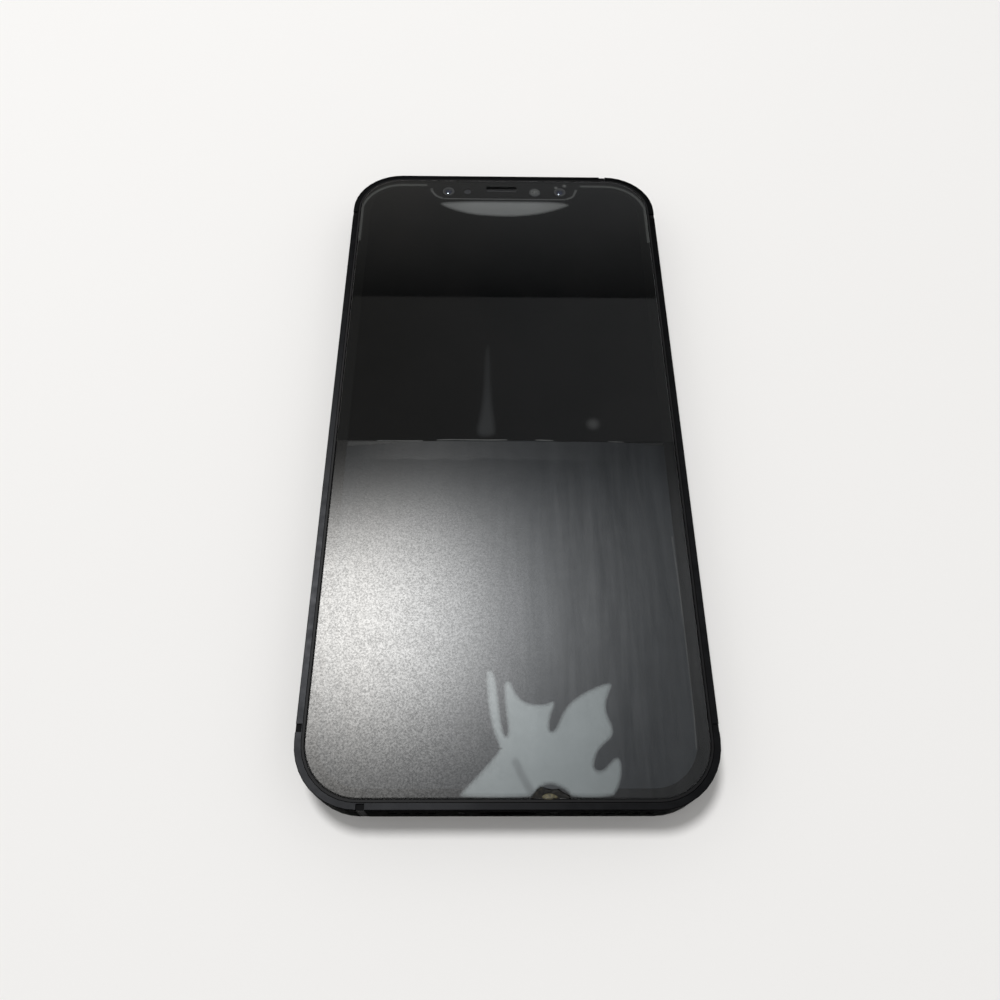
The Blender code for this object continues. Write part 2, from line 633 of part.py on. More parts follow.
def make_bottom(b):
    """What sits along the bottom end: port, loudspeaker, vibration motor, microphone and the flex."""
    z = (SIDE_Z - 1.9, SIDE_Z + 1.6)
    reach = -BODY_L / 2
    port = b.box("charge_port", (-5.3, 5.3), (reach + WALL + 0.15, reach + 11.5), z, "steel", 0.3)
    mouth = b.end_plate("cut_mouth", [pill(8.4, 2.5)], (reach, reach + 10.6), "steel", (0, SIDE_Z))
    b.cut(port, [mouth])
    b.box("port_contacts", (-3.0, 3.0), (reach + 5.5, reach + 10.5), (SIDE_Z - 1.15, SIDE_Z - 0.8),
          "copper")
    b.box("port_flex", (-32.0, 32.0), (-59.5, -47.0), (3.15, 3.35), "flex_amber")
    speaker = b.plate("loudspeaker", [corner_block(1, 10.2, 32.4, -69.8, -49.5)], (3.6, 6.7),
                      "black_plastic")
    bevel_edges(speaker, 0.4)
    motor = b.plate("vibration_motor", [corner_block(-1, 10.2, 32.4, -67.6, -49.5)], (3.6, 6.7), "steel")
    bevel_edges(motor, 0.4)
    b.box("bottom_microphone", (-17.5, -13.5), (-70.4, -68.3), (4.2, 6.2), "steel", 0.1)
    for side, word in ((-1, "left"), (1, "right")):
        make_end_screw(b, f"bottom_screw_{word}", side * 7.6)


def make_end_screw(b, name, x):
    """A casing screw that lies along Y, its head just inside the bottom wall's face."""
    reach = -BODY_L / 2
    head = b.cylinder(name, (x, SIDE_Z), 0.75, (reach + 0.12, reach + 1.2), "Y", "dark_steel", 16)
    shank = b.cylinder("join_" + name, (x, SIDE_Z), 0.5, (reach + 0.9, reach + 4.6), "Y", "dark_steel", 12)
    b.join(head, [shank])
    drive = b.cylinder("cut_" + name, (x, SIDE_Z), 0.38, (reach - 1, reach + 0.55), "Y", "dark_steel", 5)
    b.cut(head, [drive])


def make_flexes(b):
    """The ribbon cable that the display hangs on, and the cameras' cover plate."""
    path = [(40.6, 6.95)] + arc(37.0, 5.85, 1.1, 90, 270, 8) + [(40.4, 4.75)]
    b.side_plate("display_flex", [ribbon(path, 0.16)], (-11.0, -3.0), "flex_amber")
    b.plate("camera_bracket", [rounded_rect(12.4, 24.4, 4.0, 24.7, 56.4, 4)], (6.65, 6.85), "steel")


def smooth_round_pieces(b):
    for obj in b.phone.objects:
        if obj.type == "MESH":
            obj.data.shade_smooth()
            obj.data.set_sharp_from_angle(angle=math.radians(32))


def main():
    clear_scene()
    b = Builder()
    make_frame(b)
    make_rear(b)
    make_display(b)
    make_key(b, "volume_up_button", VOLUME_UP_Y, 10.3, -1)
    make_key(b, "volume_down_button", VOLUME_DOWN_Y, 10.3, -1)
    make_key(b, "side_button", SIDE_BUTTON_Y, 19.1, 1)
    make_switch(b)
    make_tray(b)
    make_notch_parts(b)
    make_board(b)
    make_power(b)
    make_bottom(b)
    make_flexes(b)
    smooth_round_pieces(b)


main()
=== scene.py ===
"""The looks of a slab smartphone with a broken display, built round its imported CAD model.

Lengths below are in millimetres and go through MM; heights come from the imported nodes' own boxes.
+X is the phone's right side seen from the front, +Y its top end, +Z points out of the screen.
"""

import math
import random

import bmesh
import bpy
from mathutils import Matrix, Vector
from mathutils.geometry import delaunay_2d_cdt


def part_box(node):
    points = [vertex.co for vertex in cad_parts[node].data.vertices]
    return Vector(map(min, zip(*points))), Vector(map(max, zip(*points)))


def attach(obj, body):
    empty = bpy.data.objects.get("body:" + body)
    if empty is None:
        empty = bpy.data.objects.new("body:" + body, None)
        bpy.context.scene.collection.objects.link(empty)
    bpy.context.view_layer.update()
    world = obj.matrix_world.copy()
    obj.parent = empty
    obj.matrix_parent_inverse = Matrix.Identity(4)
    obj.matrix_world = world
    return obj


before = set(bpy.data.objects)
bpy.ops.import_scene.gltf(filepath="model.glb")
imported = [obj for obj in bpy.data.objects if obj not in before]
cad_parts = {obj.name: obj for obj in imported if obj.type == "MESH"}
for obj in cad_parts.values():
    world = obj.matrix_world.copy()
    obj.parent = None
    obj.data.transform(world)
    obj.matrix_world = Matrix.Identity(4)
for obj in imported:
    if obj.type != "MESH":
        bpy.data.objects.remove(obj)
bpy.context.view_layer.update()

MM = 0.001


def node_box(node):
    """Lowest and highest corner of a CAD node, in millimetres."""
    return [Vector(corner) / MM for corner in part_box(node)]


GLASS = node_box("cover_glass")
PANEL = node_box("display_panel_lower")

GLASS_TOP = GLASS[1].z
PANEL_TOP = PANEL[1].z
SCREEN_X = PANEL[1].x
SCREEN_Y = node_box("display_panel_upper")[1].y
SCREEN_R = 8.0
GLASS_R = 9.5
PRINT_GAP = 0.05  # between the printed border and the edge of the glass
NOTCH_HALF = 17.3
NOTCH_BOTTOM = 66.2
NOTCH_R = 3.6
SHOULDER_R = 0.9
EARPIECE = (-0.6, 69.1)
EARPIECE_HALF = (3.7, 0.4)
FRACTURE_Y = -2.85  # where the display's two parts differ
HAZE_Y = -3.3  # where the worn part of the glass begins
CHIP = (6.7, -72.2)
CHIP_R = 2.45
RING_HEIGHT = 1.5  # of the camera rings, on which the phone's top end rests

# Heights of the thin layers between the display and the glass: printed border, pale fields, fine lines
PRINT_Z = (PANEL_TOP + 0.012, PANEL_TOP + 0.03)
PATCH_Z = (PANEL_TOP + 0.045, PANEL_TOP + 0.075)
LINE_Z = (PANEL_TOP + 0.08, PANEL_TOP + 0.09)

# Windows in the notch's print: centre and radius
WINDOWS = {
    "infrared_camera": (-13.4, 68.7, 1.4),
    "flood_illuminator": (-8.8, 68.7, 0.9),
    "front_camera": (7.5, 68.45, 1.3),
    "dot_projector": (13.6, 68.7, 1.4),
}

# ---------------------------------------------------------------- meshes


def arc(cx, cy, radius, start, end, steps=12):
    """Points along an arc, from start to end in degrees."""
    turns = [math.radians(start + (end - start) * i / steps) for i in range(steps + 1)]
    return [(cx + radius * math.cos(t), cy + radius * math.sin(t)) for t in turns]


def circle(cx, cy, radius, steps=48):
    return arc(cx, cy, radius, 0, 360 - 360 / steps, steps - 1)


def rounded_rect(half_x, half_y, radius, cx=0.0, cy=0.0, steps=12):
    x, y = half_x - radius, half_y - radius
    points = []
    for sx, sy, start in ((1, 1, 0), (-1, 1, 90), (-1, -1, 180), (1, -1, 270)):
        points += arc(cx + sx * x, cy + sy * y, radius, start, start + 90, steps)
    return points


def notch_path():
    """The notch's border from its right shoulder round to its left one."""
    shoulder_x, shoulder_y = NOTCH_HALF + SHOULDER_R, SCREEN_Y - SHOULDER_R
    corner_x, corner_y = NOTCH_HALF - NOTCH_R, NOTCH_BOTTOM + NOTCH_R
    points = arc(shoulder_x, shoulder_y, SHOULDER_R, 90, 180, 5)
    points += arc(corner_x, corner_y, NOTCH_R, 0, -90, 10)
    points += arc(-corner_x, corner_y, NOTCH_R, -90, -180, 10)
    points += arc(-shoulder_x, shoulder_y, SHOULDER_R, 0, 90, 5)
    return points


def screen_outline():
    """The display's outline, with the notch."""
    x, y = SCREEN_X - SCREEN_R, SCREEN_Y - SCREEN_R
    points = arc(x, y, SCREEN_R, 0, 90)
    points += notch_path()
    points += arc(-x, y, SCREEN_R, 90, 180)
    points += arc(-x, -y, SCREEN_R, 180, 270)
    points += arc(x, -y, SCREEN_R, 270, 360)
    return points


def rounded(points, times=2):
    """Chaikin's corner cutting: a smooth closed outline through few points."""
    for _ in range(times):
        finer = []
        for (ax, ay), (bx, by) in zip(points, points[1:] + points[:1]):
            finer.append((0.75 * ax + 0.25 * bx, 0.75 * ay + 0.25 * by))
            finer.append((0.25 * ax + 0.75 * bx, 0.25 * ay + 0.75 * by))
        points = finer
    return points


def strip_outline(path, width):
    """Closed outline of a line drawn along an open path."""
    left, right = [], []
    for i, (x, y) in enumerate(path):
        (ax, ay), (bx, by) = path[max(i - 1, 0)], path[min(i + 1, len(path) - 1)]
        reach = width / 2 / math.hypot(bx - ax, by - ay)
        left.append((x - (by - ay) * reach, y + (bx - ax) * reach))
        right.append((x + (by - ay) * reach, y - (bx - ax) * reach))
    return left + right[::-1]


def plate_mesh(name, loops, z):
    """Flat outlines (the first the outer edge, the rest holes) as a solid between two heights."""
    curve = bpy.data.curves.new(name, "CURVE")
    curve.dimensions = "2D"
    curve.fill_mode = "BOTH"
    curve.extrude = (z[1] - z[0]) / 2 * MM
    for loop in loops:
        spline = curve.splines.new("POLY")
        spline.points.add(len(loop) - 1)
        for point, (x, y) in zip(spline.points, loop):
            point.co = (x * MM, y * MM, 0.0, 1.0)
        spline.use_cyclic_u = True
    helper = bpy.data.objects.new(name + "_outline", curve)
    bpy.context.scene.collection.objects.link(helper)
    graph = bpy.context.evaluated_depsgraph_get()
    mesh = bpy.data.meshes.new_from_object(helper.evaluated_get(graph))
    bpy.data.objects.remove(helper, do_unlink=True)
    bpy.data.curves.remove(curve)
    mesh.transform(Matrix.Translation((0, 0, (z[0] + z[1]) / 2 * MM)))
    sewn = bmesh.new()
    sewn.from_mesh(mesh)
    bmesh.ops.remove_doubles(sewn, verts=sewn.verts, dist=1e-7)
    bmesh.ops.recalc_face_normals(sewn, faces=sewn.faces)
    sewn.to_mesh(mesh)
    sewn.free()
    mesh.name = name
    return mesh


def add_piece(name, mesh, material):
    """Shows a mesh as a piece of the phone's body."""
    piece = bpy.data.objects.new(name, mesh)
    bpy.context.scene.collection.objects.link(piece)
    mesh.materials.clear()
    mesh.materials.append(material)
    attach(piece, "phone")
    return piece


def gap_to_edge(x, y, loop):
    """Distance from a point to the nearest side of a closed outline."""
    nearest = 1e9
    for (ax, ay), (bx, by) in zip(loop, loop[1:] + loop[:1]):
        dx, dy = bx - ax, by - ay
        length = dx * dx + dy * dy
        t = 0.0 if length == 0 else max(0.0, min(1.0, ((x - ax) * dx + (y - ay) * dy) / length))
        nearest = min(nearest, math.hypot(x - ax - t * dx, y - ay - t * dy))
    return nearest


def inside(x, y, loop):
    """Whether a point lies within a closed outline."""
    within = False
    for (ax, ay), (bx, by) in zip(loop, loop[1:] + loop[:1]):
        if (ay > y) != (by > y) and x < ax + (y - ay) * (bx - ax) / (by - ay):
            within = not within
    return within


def smoothstep(value):
    """0 below 0, 1 above 1, and a smooth rise between."""
    t = max(0.0, min(1.0, value))
    return t * t * (3 - 2 * t)


def soft_patch(name, loop, z, material, fade=0.5, step=0.45, tone=None):
    """A thin closed sheet within an outline. Its cover fades out over fade millimetres at its border."""
    xs, ys = [p[0] for p in loop], [p[1] for p in loop]
    dense = []
    for (ax, ay), (bx, by) in zip(loop, loop[1:] + loop[:1]):
        pieces = max(1, int(math.hypot(bx - ax, by - ay) / step))
        dense += [(ax + (bx - ax) * i / pieces, ay + (by - ay) * i / pieces) for i in range(pieces)]
    points = [Vector(p) for p in dense]
    for i in range(int((max(xs) - min(xs)) / step) + 1):
        for j in range(int((max(ys) - min(ys)) / step) + 1):
            x = min(xs) + (i + 0.5 * (j % 2)) * step
            y = min(ys) + j * step
            if inside(x, y, loop) and gap_to_edge(x, y, loop) > 0.3 * step:
                points.append(Vector((x, y)))
    ring = list(range(len(dense)))
    verts, _, faces, *_ = delaunay_2d_cdt(points, [], [ring], 1, 1e-5)
    mesh = bpy.data.meshes.new(name)
    mesh.from_pydata([(v.x * MM, v.y * MM, z[1] * MM) for v in verts], [], [list(f) for f in faces])
    cover = mesh.attributes.new("cover", "FLOAT", "POINT")
    shade = mesh.attributes.new("shade", "FLOAT", "POINT")
    for i, v in enumerate(verts):
        cover.data[i].value = smoothstep(gap_to_edge(v.x, v.y, loop) / fade)
        shade.data[i].value = tone(v.x, v.y) if tone else 1.0
    piece = add_piece(name, mesh, material)
    solid = piece.modifiers.new("thickness", "SOLIDIFY")
    solid.thickness = (z[1] - z[0]) * MM
    solid.offset = -1.0


def turned(name, centre, profile, material, steps=48):
    """A ring or disc turned about an upright axis, from a closed profile of radius and height."""
    mesh = bpy.data.meshes.new(name)
    shape = bmesh.new()
    rings = []
    for radius, z in profile:
        turns = [2 * math.pi * i / steps for i in range(steps if radius > 0 else 1)]
        rings.append([shape.verts.new(((centre[0] + radius * math.cos(t)) * MM,
                                       (centre[1] + radius * math.sin(t)) * MM, z * MM)) for t in turns])
    for first, second in zip(rings, rings[1:] + rings[:1]):
        if len(first) == 1 and len(second) == 1:
            continue
        for i in range(steps):
            j = (i + 1) % steps
            if len(first) == 1:
                shape.faces.new((first[0], second[j], second[i]))
            elif len(second) == 1:
                shape.faces.new((first[i], first[j], second[0]))
            else:
                shape.faces.new((first[i], first[j], second[j], second[i]))
    bmesh.ops.recalc_face_normals(shape, faces=shape.faces)
    for face in shape.faces:
        face.smooth = True
    shape.to_mesh(mesh)
    shape.free()
    mesh.set_sharp_from_angle(angle=math.radians(35))
    add_piece(name, mesh, material)


# ---------------------------------------------------------------- material helpers


class Shader:
    """A short way to write node materials: each call adds one node and returns its output."""

    def __init__(self, name):
        self.material = bpy.data.materials.new(name)
        self.material.use_nodes = True
        self.nodes = self.material.node_tree.nodes
        self.links = self.material.node_tree.links
        self.nodes.clear()

    def node(self, kind, **settings):
        """A new node of a kind, such as "Mix"."""
        made = self.nodes.new("ShaderNode" + kind)
        for key, value in settings.items():
            setattr(made, key, value)
        return made

    def plug(self, socket, value):
        """Links an output to a socket, or sets the socket to a plain value."""
        if isinstance(value, bpy.types.NodeSocket):
            self.links.new(value, socket)
        else:
            socket.default_value = value

    def place(self, scale=(1, 1, 1)):
        """The point on the object in millimetres, stretched by scale."""
        coords = self.node("TexCoord")
        mapping = self.node("Mapping")
        self.plug(mapping.inputs["Vector"], coords.outputs["Object"])
        mapping.inputs["Scale"].default_value = [s / MM for s in scale]
        return mapping.outputs["Vector"]

    def axis(self, letter):
        """One coordinate of the point on the object, in millimetres."""
        parts = self.node("SeparateXYZ")
        self.plug(parts.inputs[0], self.place())
        return parts.outputs[letter]

    def noise(self, scale, detail=3.0, roughness=0.5, stretch=(1, 1, 1), distortion=0.0):
        made = self.node("TexNoise")
        self.plug(made.inputs["Vector"], self.place(stretch))
        made.inputs["Scale"].default_value = scale
        made.inputs["Detail"].default_value = detail
        made.inputs["Roughness"].default_value = roughness
        made.inputs["Distortion"].default_value = distortion
        return made.outputs["Fac"]

    def remap(self, value, low, high, to_low=0.0, to_high=1.0, smooth=False):
        made = self.node("MapRange", interpolation_type="SMOOTHSTEP" if smooth else "LINEAR")
        self.plug(made.inputs["Value"], value)
        for key, number in (("From Min", low), ("From Max", high), ("To Min", to_low), ("To Max", to_high)):
            self.plug(made.inputs[key], number)
        return made.outputs["Result"]

    def math(self, operation, a, b=0.0):
        made = self.node("Math", operation=operation)
        self.plug(made.inputs[0], a)
        self.plug(made.inputs[1], b)
        return made.outputs[0]

    def mix_colour(self, factor, a, b):
        made = self.node("Mix", data_type="RGBA")
        self.plug(made.inputs[0], factor)
        self.plug(made.inputs[6], a if isinstance(a, bpy.types.NodeSocket) else (*a, 1.0))
        self.plug(made.inputs[7], b if isinstance(b, bpy.types.NodeSocket) else (*b, 1.0))
        return made.outputs[2]

    def bump(self, height, distance, strength=1.0):
        """A bump whose height runs from 0 to distance millimetres."""
        made = self.node("Bump")
        self.plug(made.inputs["Height"], height)
        made.inputs["Distance"].default_value = distance * MM
        made.inputs["Strength"].default_value = strength
        return made.outputs["Normal"]

    def principled(self, colour, roughness, metallic=0.0, normal=None, **more):
        made = self.node("BsdfPrincipled")
        self.plug(made.inputs["Base Color"],
                  colour if isinstance(colour, bpy.types.NodeSocket) else (*colour, 1.0))
        self.plug(made.inputs["Roughness"], roughness)
        self.plug(made.inputs["Metallic"], metallic)
        if normal is not None:
            self.plug(made.inputs["Normal"], normal)
        for key, value in more.items():
            self.plug(made.inputs[key.replace("_", " ")], value)
        return made.outputs[0]

    def mix(self, factor, a, b):
        """Surface a where the factor is 0, b where it is 1."""
        made = self.node("MixShader")
        self.plug(made.inputs[0], factor)
        self.plug(made.inputs[1], a)
        self.plug(made.inputs[2], b)
        return made.outputs[0]

    def mix_value(self, factor, a, b):
        """Number a where the factor is 0, b where it is 1."""
        made = self.node("Mix")
        self.plug(made.inputs[0], factor)
        self.plug(made.inputs[2], a)
        self.plug(made.inputs[3], b)
        return made.outputs[0]

    def done(self, surface):
        """The finished material."""
        out = self.node("OutputMaterial")
        self.plug(out.inputs["Surface"], surface)
        return self.material


def anodised(name, colour, wear=0.3):
    """Bead-blasted, dyed aluminium with fine grain and faint handling marks."""
    s = Shader(name)
    cloud = s.noise(0.12, 4.0)
    grain = s.noise(14.0, 2.0)
    tint = s.mix_colour(s.remap(cloud, 0.3, 0.7), colour, [c * (1 + wear) for c in colour])
    rough = s.remap(s.noise(0.6, 5.0, 0.6), 0.25, 0.75, 0.30, 0.42)
    return s.done(s.principled(tint, rough, 1.0, s.bump(grain, 0.004, 0.5),
                               Specular_Tint=(0.0, 0.0, 0.0, 1.0)))


def moulded(name, colour, roughness=0.45, grain=9.0, depth=0.006, shine=0.5):
    """Moulded plastic with a fine even texture."""
    s = Shader(name)
    fine = s.noise(grain, 3.0, 0.6)
    tint = s.mix_colour(s.remap(s.noise(0.3, 3.0), 0.3, 0.7), colour, [c * 1.25 for c in colour])
    rough = s.remap(fine, 0.3, 0.7, roughness - 0.06, roughness + 0.06)
    return s.done(s.principled(tint, rough, 0.0, s.bump(fine, depth, 0.6), Specular_IOR_Level=shine))


def sheet_metal(name, colour, roughness=0.32, stretch=(1, 9, 9)):
    """Rolled sheet steel with fine lines along X."""
    s = Shader(name)
    lines = s.noise(2.2, 4.0, 0.6, stretch)
    tint = s.mix_colour(s.remap(lines, 0.3, 0.7), [c * 0.8 for c in colour], colour)
    rough = s.remap(lines, 0.3, 0.7, roughness - 0.08, roughness + 0.08)
    return s.done(s.principled(tint, rough, 1.0, s.bump(lines, 0.003, 0.4)))


# ---------------------------------------------------------------- the broken front

def fracture_line(x):
    """The height of the break at x: nearly straight, with a slight wave."""
    return FRACTURE_Y + 0.25 * math.cos(x / 11) + 0.08 * math.sin(x / 2.3)


def haze_strength(s):
    """How strongly the worn front scatters: a broad fade, a band by the break, grain and wiping marks."""
    x, y = s.axis("X"), s.axis("Y")
    full, at_break, at_bottom = 0.80, 0.36, 0.90
    fade = s.remap(y, HAZE_Y - 22.0, HAZE_Y - 0.5, full, at_break, True)
    # weaker towards the left end of the break, and a little at the bottom
    near_break = s.remap(y, HAZE_Y - 28.0, HAZE_Y - 2.0, 0.0, 1.0)
    left = s.remap(x, -33.0, -13.0, 0.60, 0.0)
    fade = s.math("MULTIPLY", fade, s.math("SUBTRACT", 1.0, s.math("MULTIPLY", near_break, left)))
    fade = s.math("MULTIPLY", fade, s.remap(y, -62.0, -38.0, at_bottom, 1.0))
    # a faint lighter band along the break, with an uneven lower edge
    wander = s.remap(s.noise(0.10, 2.0), 0.3, 0.7, -0.5, 0.5)
    ledge = s.remap(s.math("ADD", y, wander), HAZE_Y - 4.5, HAZE_Y - 4.1, 0.0, 0.12)
    middle = s.remap(s.math("ABSOLUTE", s.math("ADD", x, 3.0)), 14.0, 30.0, 1.0, 0.0, True)
    fade = s.math("ADD", fade, s.math("MULTIPLY", ledge, middle))
    # grain: strongest at the left, away from the break
    depth = s.remap(x, -15.0, 10.0, 0.36, 0.05)
    depth = s.math("MULTIPLY", depth, s.remap(y, -32.0, -12.0, 1.0, 0.3))
    grain = s.remap(s.noise(3.0, 2.0, 0.75), 0.34, 0.66, -1.0, 1.0)
    grain = s.math("ADD", s.math("MULTIPLY", grain, depth), 1.0)
    # upright wiping marks: at the right only
    marks = s.remap(s.noise(0.55, 4.0, 0.6, (1.0, 0.07, 1.0), 0.5), 0.3, 0.7, -0.5, 0.5)
    right = s.remap(x, -8.0, 20.0, 0.0, 0.45)
    streak = s.math("ADD", s.math("MULTIPLY", marks, right), 1.0)
    return s.math("MULTIPLY", s.math("MULTIPLY", fade, grain), streak)


def clear_glass():
    """The cover glass: clear above the break, hazed by fine wear below it. Only its top shines."""
    s = Shader("cover_glass_worn")
    haze = s.remap(s.axis("Y"), HAZE_Y - 0.1, HAZE_Y + 0.1, 1.0, 0.0)
    hazed = s.remap(s.noise(0.35, 4.0), 0.3, 0.7, 0.256, 0.272)
    clear = s.remap(s.noise(0.15, 4.0), 0.3, 0.7, 0.012, 0.03)
    warm, cool = (1.0, 0.985, 0.955), (0.95, 0.975, 1.0)
    tint = s.mix_colour(s.remap(s.axis("X"), -26.0, 6.0), warm, cool)
    level = s.mix_value(haze, 1.0, haze_strength(s))
    gloss = s.node("BsdfAnisotropic")
    s.plug(gloss.inputs["Color"], s.mix_colour(level, (0.0, 0.0, 0.0), tint))
    s.plug(gloss.inputs["Roughness"], s.mix_value(haze, clear, hazed))
    # a negative value widens the highlight along the tangent, which is +X
    gloss.inputs["Anisotropy"].default_value = -0.16
    along = s.node("CombineXYZ")
    along.inputs["X"].default_value = 1.0
    s.plug(gloss.inputs["Tangent"], along.outputs[0])
    grain = s.noise(2.7, 2.0, 0.75)
    lit = s.math("MULTIPLY", haze, s.remap(s.axis("X"), -20.0, 8.0, 1.0, 0.0))
    s.plug(gloss.inputs["Normal"], s.bump(s.math("MULTIPLY", grain, lit), 0.006, 0.25))
    through = s.node("BsdfTransparent")
    s.plug(through.inputs["Color"], (0.97, 0.98, 0.98, 1.0))
    fresnel = s.node("Fresnel")
    s.plug(fresnel.inputs["IOR"], 1.6)
    upper_side = s.remap(s.axis("Z"), GLASS_TOP - 0.22, GLASS_TOP - 0.02)
    shine = s.math("MULTIPLY", fresnel.outputs[0], upper_side)
    return s.done(s.mix(shine, through.outputs[0], gloss.outputs[0]))


def upper_panel():
    """The unlit display above the break: near black, with faint broad clouds."""
    s = Shader("display_black")
    cloud = s.noise(0.08, 3.0)
    tint = s.mix_colour(s.remap(cloud, 0.35, 0.65), (0.0028, 0.0031, 0.0033), (0.0048, 0.0048, 0.0050))
    return s.done(s.principled(tint, 0.4, 0.0, s.bump(s.noise(1.2), 0.001, 0.2), Specular_IOR_Level=0.0))


def lower_panel():
    """The display below the break: slate grey with faint upright streaks."""
    s = Shader("display_slate")
    marks = s.noise(0.5, 4.0, 0.6, (1.0, 0.08, 1.0), 0.5)
    fade = s.remap(s.axis("Y"), FRACTURE_Y - 14.0, FRACTURE_Y, 1.0, 0.62, True)
    share = s.math("MULTIPLY", fade, s.remap(marks, 0.3, 0.7, 0.86, 1.14))
    tint = s.mix_colour(share, (0.0, 0.0, 0.0), (0.024, 0.0262, 0.030))
    fine = s.bump(s.noise(1.5), 0.001, 0.1)
    return s.done(s.principled(tint, 0.45, 0.0, fine, Specular_IOR_Level=0.03))


def border_print():
    """The black border under the glass."""
    s = Shader("border_print")
    fine = s.noise(3.0, 3.0)
    tint = s.mix_colour(fine, (0.0036, 0.0036, 0.0036), (0.0044, 0.0044, 0.0044))
    return s.done(s.principled(tint, 0.4, 0.0, Specular_IOR_Level=0.02))


def soft_film(name, dark, light, strength=1.0, roughness=0.5):
    """A pale film under the glass whose cover and shade come from the mesh."""
    s = Shader(name)
    shade = s.node("Attribute", attribute_name="shade")
    cover = s.node("Attribute", attribute_name="cover")
    cloud = s.remap(s.noise(0.3, 4.0), 0.3, 0.7, 0.96, 1.04)
    speck = s.remap(s.noise(3.5, 2.0), 0.3, 0.7, 0.97, 1.03)
    tone = s.math("MULTIPLY", s.math("MULTIPLY", shade.outputs["Fac"], cloud), speck)
    tint = s.mix_colour(tone, dark, light)
    film = s.principled(tint, roughness, 0.0, Specular_IOR_Level=0.2)
    clear = s.node("BsdfTransparent")
    amount = s.math("MULTIPLY", cover.outputs["Fac"], strength)
    return s.done(s.mix(amount, clear.outputs[0], film))


def chipped_glass():
    """Broken glass over a dark ground, lumpy and glossy."""
    s = Shader("chipped_glass")
    lump = s.noise(1.6, 4.0, 0.6)
    tint = s.mix_colour(s.remap(lump, 0.45, 0.7), (0.003, 0.003, 0.003), (0.022, 0.020, 0.015))
    return s.done(s.principled(tint, 0.22, 0.0, s.bump(lump, 0.05, 0.6)))


def tan_residue():
    """Dried dirt or glue in the chip."""
    s = Shader("tan_residue")
    lump = s.noise(2.4, 4.0, 0.6)
    tint = s.mix_colour(s.remap(lump, 0.3, 0.7), (0.02, 0.018, 0.008), (0.14, 0.122, 0.06))
    return s.done(s.principled(tint, 0.6, 0.0, s.bump(lump, 0.10, 0.8)))


# Outlines of the pale fields, given round their soft borders
CRESCENT = [(-16.1, 63.8), (-13.6, 64.4), (-7.0, 64.7), (2.0, 64.7), (11.0, 64.7), (14.2, 64.4),
            (16.3, 63.5), (13.4, 61.9), (9.7, 60.5), (4.6, 59.5), (1.0, 59.3), (-4.0, 59.5),
            (-8.1, 60.0), (-12.9, 61.6)]
LEAF = [(-3.0, -50.0), (-3.9, -50.6), (-3.7, -54.0), (-3.5, -56.5), (-3.1, -59.0), (-2.5, -61.2),
        (-1.6, -63.4), (-1.9, -64.2), (-3.0, -65.5), (-5.4, -68.1), (-8.2, -70.9), (-8.0, -71.5),
        (3.9, -71.5), (4.2, -70.9), (5.2, -69.9), (6.4, -69.4), (7.9, -69.6), (9.6, -70.6),
        (10.2, -71.5), (16.6, -71.5), (17.7, -70.7), (18.5, -69.0), (18.9, -66.8), (18.6, -65.0),
        (17.6, -65.0), (16.6, -66.0), (15.6, -67.0), (14.7, -67.1), (14.2, -66.6), (14.5, -65.4),
        (15.0, -64.2), (15.9, -63.2), (17.2, -62.2), (17.8, -61.2), (17.8, -59.9), (17.0, -58.2),
        (16.8, -56.4), (17.4, -54.5), (18.2, -52.9), (17.6, -52.3), (15.0, -53.2), (12.4, -54.5),
        (10.4, -56.0), (9.0, -57.9), (8.3, -59.6), (7.6, -60.7), (7.0, -60.6), (7.3, -58.4),
        (8.0, -56.8), (8.4, -55.4), (6.2, -56.2), (4.5, -56.2), (3.0, -55.8), (1.9, -54.9),
        (1.1, -53.6), (0.6, -52.2), (-0.7, -52.2), (-0.8, -54.8), (-0.5, -57.6), (-0.2, -60.2),
        (-0.3, -61.8), (-0.8, -60.4), (-1.2, -58.1), (-1.6, -54.5), (-2.0, -51.4)]
SMEAR = [(-4.6, 21.5), (-2.9, 21.5), (-2.6, 8.0), (-1.9, 2.0), (-1.6, -2.6), (-6.6, -2.6),
         (-5.6, 3.0), (-4.9, 9.0)]
# Outlines of painted shadow: black sheets at the ends of the break, where its lifted edge shades the
# display
BREAK_LEFT = [(-31.8, -3.3), (-26, -3.35), (-19, -3.5), (-24, -4.1), (-31.8, -4.8)]
BREAK_RIGHT = [(31.8, -3.4), (28.0, -3.6), (24.5, -3.8), (28.0, -4.1), (31.8, -4.3)]

# Paths of the fine lines
SLIT = [(-1.0, -54.0), (-0.8, -58.0), (-0.5, -60.6)]
SECOND_CRACK = [(1.2, -65.7), (2.3, -68.0), (3.8, -70.6)]
HAIRLINE_LEFT = [(-33.8, -63.1), (-25, -63.2), (-14, -63.45), (-6, -63.6), (-0.9, -63.5)]
HAIRLINE_RIGHT = [(31.5, -24), (31.75, -34), (31.85, -46), (31.8, -58), (31.6, -64)]
NOTCH_LINES = {
    "notch_line_right": ([(15.0, 66.1), (16.7, 67.1), (17.4, 68.8), (17.6, 69.6)], 0.8),
    "notch_line_left": ([(-17.6, 69.6), (-17.3, 68.4), (-16.3, 67.0), (-14.6, 66.1)], 0.8),
    "notch_line_bottom": ([(-14.6, 66.1), (-5.0, 66.05), (5.0, 66.05), (15.0, 66.1)], 0.55),
}

VIEW_X, VIEW_Y, VIEW_HEIGHT = -3.5, -92.2, 140.7  # where the outlines were judged from, above the glass


def sunk(points):
    """Outlines judged at the height of the glass, moved to where they lie under it."""
    share = (GLASS_TOP - PATCH_Z[1]) / VIEW_HEIGHT
    return [(x + share * (x - VIEW_X), y + share * (y - VIEW_Y)) for x, y in points]


